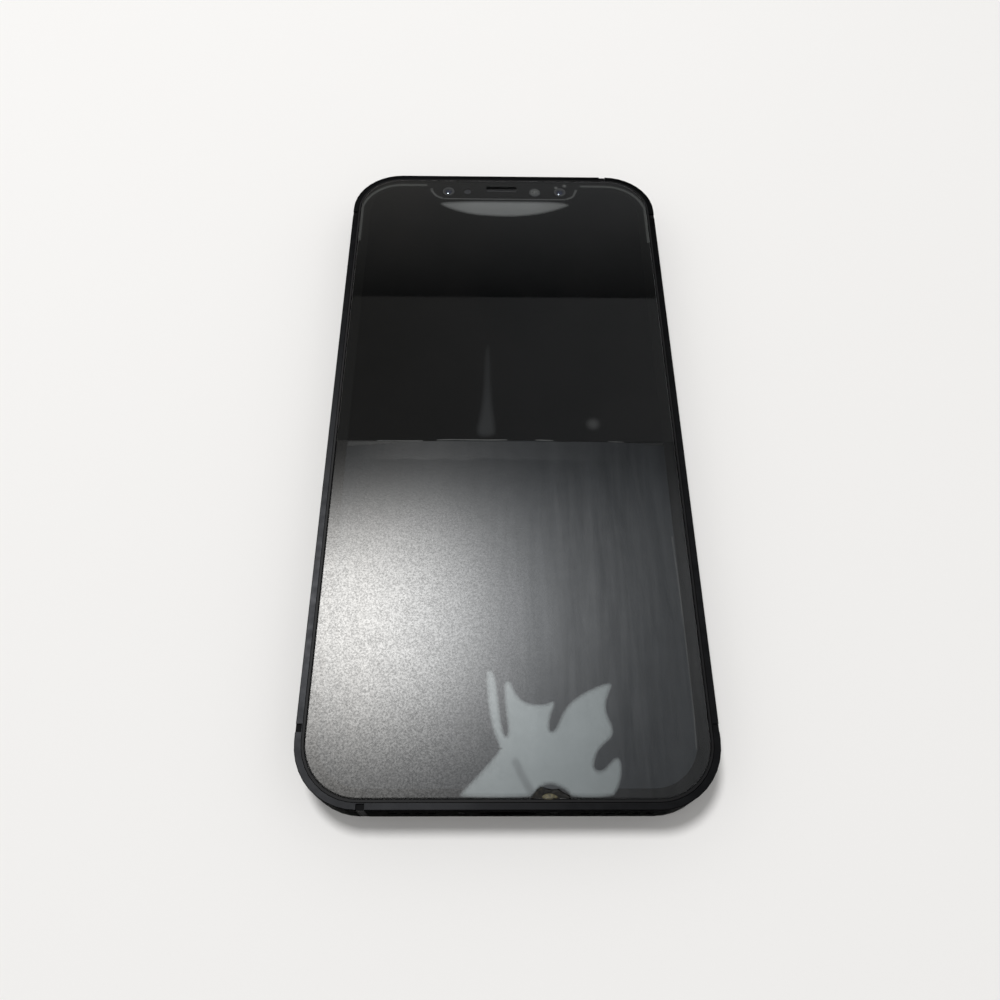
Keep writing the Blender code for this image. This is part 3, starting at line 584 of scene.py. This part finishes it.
def path_gap(x, y, path):
    """Distance from a point to an open path."""
    nearest = 1e9
    for (ax, ay), (bx, by) in zip(path, path[1:]):
        dx, dy = bx - ax, by - ay
        t = max(0.0, min(1.0, ((x - ax) * dx + (y - ay) * dy) / (dx * dx + dy * dy)))
        nearest = min(nearest, math.hypot(x - ax - t * dx, y - ay - t * dy))
    return nearest


def leaf_tone(x, y):
    """How light the leaf is: darker by the cracks and, a little, at its lower right."""
    tone = 0.95 - 0.16 * smoothstep((x + 2.0) / 20.0) - 0.12 * smoothstep((-60.0 - y) / 9.0)
    crack = 1.0 - smoothstep((path_gap(x, y, SECOND_CRACK) - 0.15) / 0.9)
    slit = 1.0 - smoothstep((path_gap(x, y, SLIT) - 0.1) / 0.7)
    return max(0.0, tone - 0.4 * crack - 0.3 * slit)


def crescent_tone(x, y):
    """How light the crescent is: lightest at its upper middle."""
    return 0.85 - 0.35 * smoothstep((abs(x) - 6.0) / 9.0) + 0.15 * smoothstep((y - 62.0) / 2.0)


def bitten_floor(name, centre, radius, z, material, steps=22):
    """An uneven shell-shaped floor: rings of points about a centre, at seeded heights."""
    draw = random.Random(7)
    edge = GLASS[0].y + 0.15
    mesh = bpy.data.meshes.new(name)
    shape = bmesh.new()
    rings = []
    for part in (1.0, 0.8, 0.55, 0.3):
        ring = []
        for i in range(steps):
            turn = 2 * math.pi * i / steps
            reach = radius * part * (1 + 0.16 * math.sin(3 * turn + 0.6) + 0.09 * math.sin(7 * turn))
            height = z[0] + (z[1] - z[0]) * (0.15 + 0.85 * part ** 2) * draw.uniform(0.75, 1.0)
            x = centre[0] + 1.15 * reach * math.cos(turn)
            y = max(centre[1] + reach * math.sin(turn), edge)
            ring.append(shape.verts.new((x * MM, y * MM, height * MM)))
        rings.append(ring)
    middle = shape.verts.new((centre[0] * MM, max(centre[1], edge) * MM, (z[0] + 0.1) * MM))
    for outer, inner in zip(rings, rings[1:]):
        for i in range(steps):
            j = (i + 1) % steps
            shape.faces.new((outer[i], outer[j], inner[j], inner[i]))
    for i in range(steps):
        shape.faces.new((rings[-1][i], rings[-1][(i + 1) % steps], middle))
    bmesh.ops.dissolve_degenerate(shape, dist=1e-6, edges=shape.edges)
    shape.to_mesh(mesh)
    shape.free()
    piece = add_piece(name, mesh, material)
    solid = piece.modifiers.new("thickness", "SOLIDIFY")
    solid.thickness = 0.05 * MM
    solid.offset = -1.0


def lump_piece(name, centre, size, material, seed):
    """A small uneven lump, flat on its underside."""
    draw = random.Random(seed)
    mesh = bpy.data.meshes.new(name)
    shape = bmesh.new()
    bmesh.ops.create_icosphere(shape, subdivisions=3, radius=1.0)
    ranges = ((2, 5), (0, 6), (2, 5), (0, 6))
    waves = [tuple(draw.uniform(*ends) for ends in ranges) for _ in range(3)]
    for v in shape.verts:
        swell = 1 + sum(0.10 * math.sin(a * v.co.x + b) * math.cos(c * v.co.y + d) for a, b, c, d in waves)
        v.co = v.co * swell
        v.co = Vector((v.co.x * size[0], v.co.y * size[1], max(v.co.z, 0.0) * size[2])) + Vector(centre)
        v.co *= MM
    bmesh.ops.remove_doubles(shape, verts=shape.verts, dist=1e-7)
    bmesh.ops.recalc_face_normals(shape, faces=shape.faces)
    for face in shape.faces:
        face.smooth = True
    shape.to_mesh(mesh)
    shape.free()
    add_piece(name, mesh, material)


def make_border_print():
    """The printed border, with holes for the display, the earpiece and the sensors."""
    edge = rounded_rect(GLASS[1].x - PRINT_GAP, GLASS[1].y - PRINT_GAP, GLASS_R)
    half_x, half_y = EARPIECE_HALF
    slot = [(x + EARPIECE[0], y + EARPIECE[1]) for x, y in rounded_rect(half_x, half_y, half_y)]
    windows = [circle(x, y, r) for x, y, r in WINDOWS.values()]
    mesh = plate_mesh("border_print", [edge, screen_outline(), slot, *windows], PRINT_Z)
    add_piece("border_print", mesh, border_print())


def make_pale_fields():
    """The crescent below the notch, and the leaf above the chip."""
    pale = soft_film("pale_film_top", (0.05, 0.05, 0.05), (0.19, 0.19, 0.188))
    soft_patch("crescent_gap", rounded(sunk(CRESCENT)), PATCH_Z, pale, 0.9,
               tone=crescent_tone)
    leaf = soft_film("pale_film_leaf", (0.05, 0.055, 0.06), (0.33, 0.355, 0.36))
    soft_patch("leaf_gap", rounded(sunk(LEAF)), PATCH_Z, leaf, 0.7, tone=leaf_tone)


def make_top_lines():
    """The fine lines round the notch and round the glass's upper corners."""
    line = soft_film("faint_line", (0.05, 0.05, 0.05), (0.10, 0.10, 0.098), 0.75)
    for name, (path, width) in NOTCH_LINES.items():
        soft_patch(name, strip_outline(path, width), LINE_Z, line, width * 0.45, 0.3)
    rim = soft_film("top_rim_line", (0.03, 0.03, 0.03), (0.075, 0.077, 0.073), 0.8)
    corner = [(18.5, 70.7)] + arc(24.5, 61.2, GLASS_R, 90, 12, 10) + [(33.8, 52.0)]
    for name, side in (("top_rim_left", -1), ("top_rim_right", 1)):
        path = [(side * x, y) for x, y in corner]
        soft_patch(name, strip_outline(path, 0.9), LINE_Z, rim, 0.4, 0.35)


def make_break():
    """Along the break: a pale strip that is a painted highlight on its lifted edge, and black sheets at its
    ends that are painted shadow under that edge.
    """
    # painted highlight: a pale strip along the break, brightest near its middle
    edge = soft_film("break_highlight", (0.06, 0.06, 0.06), (0.20, 0.20, 0.195), 0.85)
    path = [(x, fracture_line(x) + 0.1) for x in range(-26, 28, 2)]
    soft_patch("break_highlight_line", strip_outline(path, 0.34), LINE_Z, edge, 0.16, 0.3,
               tone=lambda x, y: 0.65 - 0.5 * smoothstep((abs(x + 3) - 5) / 20))
    # painted shadow: near-black sheets at both ends of the break
    black = soft_film("break_shadow", (0.003, 0.003, 0.003), (0.004, 0.004, 0.004), 0.95)
    for name, loop in (("break_shadow_left", BREAK_LEFT), ("break_shadow_right", BREAK_RIGHT)):
        soft_patch(name, sunk(loop), PATCH_Z, black, 0.3, 0.35)


def make_faint_marks():
    """Hairlines below the break, a smear and a fleck above it."""
    dark = soft_film("hairline", (0.010, 0.010, 0.012), (0.012, 0.012, 0.014), 0.28)
    soft_patch("hairline_crack", strip_outline(HAIRLINE_LEFT, 0.3), LINE_Z, dark,
               0.14, 0.25)
    pale = soft_film("pale_hairline", (0.06, 0.06, 0.06), (0.12, 0.12, 0.12), 0.5)
    soft_patch("hairline_right", strip_outline(HAIRLINE_RIGHT, 0.34), LINE_Z, pale,
               0.16, 0.25)
    faint = soft_film("faint_smear", (0.010, 0.011, 0.012), (0.022, 0.023, 0.026), 0.45)
    soft_patch("smear_upper", rounded(sunk(SMEAR)), LINE_Z, faint, 1.4, 0.6,
               tone=lambda x, y: 0.3 + 0.7 * smoothstep((14 - y) / 14))
    spot = soft_film("fleck", (0.03, 0.03, 0.03), (0.07, 0.07, 0.07), 0.45)
    soft_patch("fleck", circle(17.9, 1.4, 1.9, 24), LINE_Z, spot, 1.9, 0.35)


def make_chip():
    """The bite in the glass's lower edge, with the residue in it."""
    bitten_floor("chip_floor", CHIP, CHIP_R, (PANEL_TOP + 0.05, GLASS_TOP - 0.25), chipped_glass())
    tan = tan_residue()
    ground = PANEL_TOP + 0.06
    lump_piece("chip_residue", (CHIP[0], -71.25, ground), (1.35, 0.62, 0.42), tan, 3)
    lump_piece("chip_crumb", (5.0, -70.85, ground), (0.45, 0.3, 0.25), tan, 5)


def make_front_sensors():
    """What shows through the windows in the notch: lenses in their barrels, and small pale discs that are
    painted highlights.
    """
    barrel = moulded("sensor_barrel", (0.035, 0.035, 0.037), 0.35)
    lens = lens_coating("sensor_lens", (0.02, 0.025, 0.035), (0.05, 0.05, 0.08))
    low, high = PANEL_TOP - 0.5, PANEL_TOP + 0.01
    for name in ("front_camera", "infrared_camera", "dot_projector"):
        x, y, window = WINDOWS[name]
        r = window - 0.02
        bezel = [(r, high), (r * 0.72, high), (r * 0.6, high - 0.12), (r * 0.6, low), (r, low)]
        turned(name + "_bezel", (x, y), bezel, barrel, 40)
        element = [(0, high - 0.1), (r * 0.25, high - 0.115), (r * 0.45, high - 0.17),
                   (r * 0.58, high - 0.25), (r * 0.58, low + 0.05), (0, low + 0.05)]
        turned(name + "_element", (x, y), element, lens, 40)
    # painted highlights: pale discs for the glints on the sensors and on the front camera's window
    glint = soft_film("sensor_glint", (0.05, 0.05, 0.05), (0.16, 0.16, 0.155), 0.7)
    for name, x, y, r in (("glint_low", 12.7, 70.1, 0.6), ("glint_high", 14.8, 70.8, 0.65),
                          ("glint_camera", 7.45, 68.5, 1.5)):
        soft_patch(name, circle(x, y, r, 20), LINE_Z, glint, r * 0.9, r * 0.3)


# ---------------------------------------------------------------- the back and the ends

def lens_coating(name, base, bloom):
    """Coated optical glass: dark, with a coloured bloom."""
    s = Shader(name)
    cloud = s.noise(0.9, 2.0)
    tint = s.mix_colour(cloud, base, bloom)
    return s.done(s.principled(tint, 0.04, 0.0, Coat_Weight=1.0, Coat_Roughness=0.02,
                               Coat_Tint=(0.75, 0.85, 1.0, 1.0)))


def lens_window():
    """Sapphire over a camera: clear, with a faint sharp reflection."""
    s = Shader("lens_window")
    gloss = s.node("BsdfAnisotropic")
    s.plug(gloss.inputs["Roughness"], s.remap(s.noise(0.4, 3.0), 0.3, 0.7, 0.01, 0.03))
    through = s.node("BsdfTransparent")
    s.plug(through.inputs["Color"], (0.95, 0.96, 0.97, 1.0))
    fresnel = s.node("Fresnel")
    s.plug(fresnel.inputs["IOR"], 1.6)
    outer_side = s.remap(s.axis("Z"), 0.4, 0.5, 1.0, 0.0)
    shine = s.math("MULTIPLY", fresnel.outputs[0], outer_side)
    return s.done(s.mix(shine, through.outputs[0], gloss.outputs[0]))


def back_glass():
    """Polished black glass, frosted on the raised camera field, with faint handling marks."""
    s = Shader("back_glass")
    raised = s.remap(s.axis("Z"), 1.34, 1.42, 1.0, 0.0)
    scuff = s.noise(0.5, 6.0, 0.7, (1.0, 0.3, 1.0))
    frost = s.noise(7.0, 2.0)
    polished = s.remap(scuff, 0.35, 0.75, 0.05, 0.13)
    rough = s.mix_value(raised, polished, s.remap(frost, 0.3, 0.7, 0.42, 0.50))
    tint = s.mix_colour(raised, (0.007, 0.007, 0.008), (0.014, 0.0145, 0.0155))
    height = s.math("MULTIPLY", frost, raised)
    return s.done(s.principled(tint, rough, 0.0, s.bump(height, 0.006, 0.5)))


def ring_waves(s, x, y, scale):
    """Waves in rings about an upright axis at x, y."""
    rings = s.node("TexWave", wave_type="RINGS", rings_direction="Z")
    shift = s.node("Mapping")
    s.plug(shift.inputs["Vector"], s.place())
    shift.inputs["Location"].default_value = (-x, -y, 0.0)
    s.plug(rings.inputs["Vector"], shift.outputs["Vector"])
    rings.inputs["Scale"].default_value = scale
    return rings.outputs["Fac"]


def sine_waves(s, letter, length):
    """A sine of one coordinate that repeats every length millimetres."""
    return s.math("SINE", s.math("MULTIPLY", s.axis(letter), 2 * math.pi / length))


def flash_cover():
    """Frosted pale yellow plastic with fine rings."""
    s = Shader("flash_cover")
    rings = ring_waves(s, 12.2, 56.7, 0.55)
    tint = s.mix_colour(rings, (0.55, 0.50, 0.30), (0.80, 0.77, 0.62))
    return s.done(s.principled(tint, 0.25, 0.0, s.bump(rings, 0.05, 0.5)))


def polished_metal(name, colour, roughness=0.18):
    """Bright metal with fine wear."""
    s = Shader(name)
    fine = s.noise(5.0, 4.0, 0.7)
    tint = s.mix_colour(s.remap(fine, 0.3, 0.7), [c * 0.85 for c in colour], colour)
    rough = s.remap(fine, 0.3, 0.7, roughness - 0.05, roughness + 0.07)
    return s.done(s.principled(tint, rough, 1.0, s.bump(fine, 0.001, 0.3)))


def contact_pads():
    """Gold pads side by side on black plastic."""
    s = Shader("contact_pads")
    pad = s.remap(sine_waves(s, "X", 0.75), -0.2, 0.1)
    wear = s.noise(3.0, 4.0)
    gold = s.mix_colour(wear, (0.62, 0.42, 0.14), (0.86, 0.66, 0.30))
    tint = s.mix_colour(pad, (0.012, 0.012, 0.012), gold)
    rough = s.remap(wear, 0.3, 0.7, 0.2, 0.4)
    return s.done(s.principled(tint, rough, pad, s.bump(pad, 0.03, 0.5)))


def wound_copper():
    """Flat-wound copper wire about the coil's centre."""
    s = Shader("wound_copper")
    rings = ring_waves(s, 0.0, -4.0, 0.45)
    tint = s.mix_colour(rings, (0.20, 0.07, 0.025), (0.72, 0.34, 0.16))
    return s.done(s.principled(tint, 0.35, 1.0, s.bump(rings, 0.08, 0.6)))


def circuit_board():
    """Green board with fine gold tracks."""
    s = Shader("circuit_board")
    cells = s.node("TexBrick")
    s.plug(cells.inputs["Vector"], s.place())
    cells.inputs["Scale"].default_value = 0.4
    cells.inputs["Color1"].default_value = (0.008, 0.045, 0.032, 1)
    cells.inputs["Color2"].default_value = (0.012, 0.06, 0.04, 1)
    cells.inputs["Mortar"].default_value = (0.35, 0.25, 0.08, 1)
    cells.inputs["Mortar Size"].default_value = 0.02
    return s.done(s.principled(cells.outputs["Color"], 0.42, 0.0, s.bump(s.noise(2.0), 0.01, 0.5)))


def flat_cable():
    """Amber film over fine copper tracks."""
    s = Shader("flat_cable")
    track = s.remap(sine_waves(s, "X", 0.6), -0.6, 0.6)
    tint = s.mix_colour(track, (0.10, 0.04, 0.008), (0.26, 0.13, 0.03))
    return s.done(s.principled(tint, 0.36, 0.0, s.bump(s.noise(1.5), 0.01, 0.4)))


def battery_wrap():
    """Black crinkled foil."""
    s = Shader("battery_wrap")
    crinkle = s.noise(0.8, 5.0, 0.6)
    tint = s.mix_colour(crinkle, (0.012, 0.012, 0.013), (0.03, 0.03, 0.032))
    return s.done(s.principled(tint, 0.45, 0.0, s.bump(crinkle, 0.03, 0.6)))


def woven_mesh():
    """Fine woven steel: two crossed waves."""
    s = Shader("woven_mesh")
    wire = 0.16
    weave = s.remap(s.math("MULTIPLY", sine_waves(s, "X", wire), sine_waves(s, "Y", wire)), -0.6, 0.6)
    tint = s.mix_colour(weave, (0.01, 0.01, 0.01), (0.16, 0.16, 0.17))
    return s.done(s.principled(tint, 0.4, 1.0, s.bump(weave, 0.05, 0.7)))


def make_rear_lenses():
    """Behind each rear lens cover: a stepped black barrel, a bright lip and a coated front element."""
    barrel = moulded("lens_barrel", (0.012, 0.012, 0.013), 0.4)
    lens = lens_coating("rear_lens", (0.008, 0.012, 0.02), (0.03, 0.02, 0.06))
    lip = polished_metal("lens_lip", (0.10, 0.10, 0.105))
    for name in ("wide", "ultrawide"):
        low, high = node_box(name + "_lens_cover")
        centre = ((low.x + high.x) / 2, (low.y + high.y) / 2)
        r = (high.x - low.x) / 2 - 0.05
        top = high.z
        baffle = [(r, top + 0.03), (r, top + 0.42), (2.0, top + 0.42), (2.0, top + 0.30), (2.9, top + 0.26),
                  (2.9, top + 0.18), (3.7, top + 0.14), (3.7, top + 0.03)]
        rim = [(3.66, top + 0.02), (3.66, top + 0.12), (3.3, top + 0.12), (3.3, top + 0.05)]
        element = [(0, top + 0.52), (0.7, top + 0.55), (1.3, top + 0.64), (1.9, top + 0.80),
                   (1.9, top + 1.2), (0, top + 1.2)]
        turned(name + "_lens_baffle", centre, baffle, barrel, 64)
        turned(name + "_lens_rim", centre, rim, lip, 64)
        turned(name + "_lens_element", centre, element, lens, 48)


def make_flash_rings():
    """The flash's cover: fine rings standing out of a disc."""
    low, high = node_box("flash_lens")
    centre = ((low.x + high.x) / 2, (low.y + high.y) / 2)
    face = low.z
    profile = [(0, face - 0.02)]
    for i in range(9):
        radius = 0.3 + 0.28 * i
        profile += [(radius, face - 0.05), (radius + 0.04, face - 0.015)]
    profile += [(2.85, face - 0.02), (2.85, face - 0.005), (0, face - 0.005)]
    turned("flash_rings", centre, profile, flash_cover(), 48)


def finish_cad_nodes():
    """Gives each CAD node its material."""
    frame_look = anodised("frame_black", (0.009, 0.0092, 0.0098))
    key_look = anodised("key_black", (0.010, 0.0102, 0.011))
    sheet = sheet_metal("inner_sheet", (0.45, 0.45, 0.46))
    dark_sheet = sheet_metal("dark_sheet", (0.10, 0.10, 0.11))
    looks = {
        "mid_frame": frame_look,
        "cover_glass": clear_glass(),
        "display_panel_upper": upper_panel(),
        "display_panel_lower": lower_panel(),
        "display_frame": moulded("display_frame_black", (0.004, 0.004, 0.0045), 0.45, 9.0, 0.004, 0.12),
        "rear_glass": back_glass(),
        "charge_port": polished_metal("port_shell", (0.35, 0.35, 0.36), 0.25),
        "port_contacts": contact_pads(),
        "charging_coil": wound_copper(),
        "magnet_ring": sheet_metal("magnet_plate", (0.30, 0.30, 0.31), 0.3, (4, 1, 4)),
        "logic_board": circuit_board(),
        "battery": battery_wrap(),
        "flash_lens": flash_cover(),
        "earpiece_mesh": woven_mesh(),
        "display_seal": moulded("gasket_black", (0.010, 0.010, 0.010), 0.6, 5.0, 0.02),
    }
    groups = (
        (key_look, ("side_button", "volume_up_button", "volume_down_button", "ring_switch", "sim_tray")),
        (moulded("antenna_black", (0.005, 0.005, 0.0055), 0.6, 6.0, 0.003, 0.04),
         [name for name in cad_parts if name.startswith("antenna_insert")]),
        (lens_window(), ("wide_lens_cover", "ultrawide_lens_cover")),
        (polished_metal("ring_polished", (0.055, 0.055, 0.058)), ("wide_lens_ring", "ultrawide_lens_ring")),
        (flat_cable(), ("display_flex", "port_flex", "battery_flex")),
        (dark_sheet, ("camera_bracket", "wide_camera", "ultrawide_camera", "dot_projector",
                      "infrared_camera", "front_camera", "flood_illuminator")),
        (polished_metal("screw_steel", (0.22, 0.22, 0.225), 0.24),
         ("board_screw_1", "board_screw_2", "board_screw_3", "bottom_screw_left", "bottom_screw_right")),
        (moulded("speaker_plastic", (0.015, 0.015, 0.016), 0.42),
         ("loudspeaker", "earpiece_speaker", "flash_module")),
    )
    for look, names in groups:
        for name in names:
            looks[name] = look
    for name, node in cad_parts.items():
        node.data.materials.clear()
        node.data.materials.append(looks.get(name, sheet))


# ---------------------------------------------------------------- studio

ROOM = 0.58  # brightness of the room where the glass does not mirror it

EYE = (-3.526, -92.183, 148.074 + RING_HEIGHT)
FOCAL_LENGTH = 29.74
SENSOR_WIDTH = 36.0
TILT, ROLL, TURN = 1.07820, 0.030806, 0.030468  # radians: down, about the line of sight, to the right

RING_FAR_Y = 69.1  # the phone rests on its camera rings, here,
LOWER_EDGE_Y = -72.9  # and on its lower edge
FLOOR_HALF = 2500.0

SPOT = (-27.0, -42.0)  # the middle of the bright spot on the glass
LAMP_DISTANCE = 1.5  # metres, as is the radius
LAMP_RADIUS = 0.20
LAMP_RADIANCE = 35.5  # watts a square metre and steradian


def make_camera():
    """Above the phone's bottom end, looking down at its middle."""
    data = bpy.data.cameras.new("camera")
    data.sensor_width = SENSOR_WIDTH
    data.lens = FOCAL_LENGTH
    data.clip_start = 0.005
    data.clip_end = 20.0
    camera = bpy.data.objects.new("camera", data)
    bpy.context.scene.collection.objects.link(camera)
    ahead = Vector((math.sin(TURN) * math.cos(TILT), math.cos(TURN) * math.cos(TILT), -math.sin(TILT)))
    level = Vector((math.cos(TURN), -math.sin(TURN), 0.0))
    above = level.cross(ahead)
    right = level * math.cos(ROLL) + above * math.sin(ROLL)
    up = above * math.cos(ROLL) - level * math.sin(ROLL)
    pose = Matrix((right, up, -ahead)).transposed().to_4x4()
    pose.translation = Vector(EYE) * MM
    camera.matrix_world = pose
    bpy.context.scene.camera = camera


def pale_paper():
    """Matt off-white paper with faint clouds and fibres."""
    s = Shader("pale_paper")
    cloud = s.noise(0.004, 3.0)
    tint = s.mix_colour(cloud, (0.855, 0.845, 0.832), (0.875, 0.868, 0.858))
    fibre = s.noise(2.5, 4.0, 0.6)
    return s.done(s.principled(tint, 0.85, 0.0, s.bump(fibre, 0.02, 0.3), Specular_IOR_Level=0.2))


def make_floor():
    """A pale paper sheet. It leans a little, to meet both the camera rings and the lower edge."""
    rise = RING_HEIGHT / (RING_FAR_Y - LOWER_EDGE_Y)
    corners = [(sx * FLOOR_HALF, sy * FLOOR_HALF) for sx, sy in ((-1, -1), (1, -1), (1, 1), (-1, 1))]
    points = [(x * MM, y * MM, (RING_FAR_Y - y) * rise * MM) for x, y in corners]
    mesh = bpy.data.meshes.new("floor")
    mesh.from_pydata(points, [], [(0, 1, 2, 3)])
    mesh.materials.append(pale_paper())
    floor = bpy.data.objects.new("floor", mesh)
    bpy.context.scene.collection.objects.link(floor)


def make_lights():
    """One broad lamp nearly overhead. The worn glass spreads its reflection into a soft bright spot."""
    spot = Vector((*SPOT, GLASS_TOP)) * MM
    away = spot - bpy.context.scene.camera.matrix_world.translation
    away.z = -away.z
    away.normalize()
    data = bpy.data.lights.new("overhead_lamp", "AREA")
    data.shape = "DISK"
    data.size = 2 * LAMP_RADIUS
    data.energy = LAMP_RADIANCE * math.pi * math.pi * LAMP_RADIUS ** 2
    lamp = bpy.data.objects.new("overhead_lamp", data)
    bpy.context.scene.collection.objects.link(lamp)
    lamp.location = spot + away * LAMP_DISTANCE
    lamp.rotation_euler = (-away).to_track_quat("-Z", "Y").to_euler()


def make_world():
    """A soft pale room. It is dim where the glass mirrors it, with a straight edge beyond the top end."""
    world = bpy.data.worlds.new("studio")
    bpy.context.scene.world = world
    world.use_nodes = True
    nodes, links = world.node_tree.nodes, world.node_tree.links
    nodes.clear()

    def add(kind, **settings):
        """A new node of a kind."""
        made = nodes.new("ShaderNode" + kind)
        for key, value in settings.items():
            setattr(made, key, value)
        return made

    def ramp(value, low, high, to_low, to_high):
        """The value moved from one range to another, held at its ends."""
        made = add("MapRange")
        links.new(value, made.inputs["Value"])
        for key, number in zip(("From Min", "From Max", "To Min", "To Max"), (low, high, to_low, to_high)):
            if isinstance(number, bpy.types.NodeSocket):
                links.new(number, made.inputs[key])
            else:
                made.inputs[key].default_value = number
        return made.outputs["Result"]

    def both(operation, a, b):
        """Arithmetic on two outputs or numbers."""
        made = add("Math", operation=operation)
        for socket, value in zip(made.inputs, (a, b)):
            if isinstance(value, bpy.types.NodeSocket):
                links.new(value, socket)
            else:
                socket.default_value = value
        return made.outputs[0]

    def choose(factor, a, b):
        """a where the factor is 1, b where it is 0."""
        return both("ADD", both("MULTIPLY", factor, a), both("MULTIPLY", both("SUBTRACT", 1.0, factor), b))

    parts = add("SeparateXYZ")
    links.new(add("TexCoord").outputs["Generated"], parts.inputs[0])
    x, y, z = parts.outputs
    # directions as slopes: sideways and lengthways for each unit of height
    height = both("MAXIMUM", z, 0.01)
    across, along = both("DIVIDE", x, height), both("DIVIDE", y, height)
    edge = 1 / math.tan(math.radians(48.0))  # where the wall meets the ceiling
    wall = ramp(along, edge, edge + 0.26, 0.03, 0.33)
    ceiling = both("ADD", both("MULTIPLY", across, 0.20), 0.19)
    mirrored = choose(both("GREATER_THAN", along, edge), wall, ceiling)
    # the dim part of the room, and how far outside it a direction is
    side, near, far = 0.32, -0.10, 1.18
    beyond_side = both("SUBTRACT", both("ABSOLUTE", across, 0.0), side)
    beyond_ends = both("MAXIMUM", both("SUBTRACT", near, along), both("SUBTRACT", along, far))
    bright = ramp(both("MAXIMUM", beyond_side, beyond_ends), 0.05, 0.50, mirrored, ROOM)
    colour = add("CombineColor")
    for socket, share in zip(colour.inputs, (1.0, 0.995, 0.985)):
        links.new(both("MULTIPLY", bright, share), socket)
    back = add("Background")
    links.new(colour.outputs[0], back.inputs["Color"])
    out = add("OutputWorld")
    links.new(back.outputs[0], out.inputs["Surface"])


def main():
    make_camera()
    make_floor()
    make_world()
    make_lights()
    finish_cad_nodes()
    make_border_print()
    make_pale_fields()
    make_top_lines()
    make_break()
    make_faint_marks()
    make_chip()
    make_front_sensors()
    make_rear_lenses()
    make_flash_rings()
    bpy.context.scene.view_settings.view_transform = "Standard"


main()
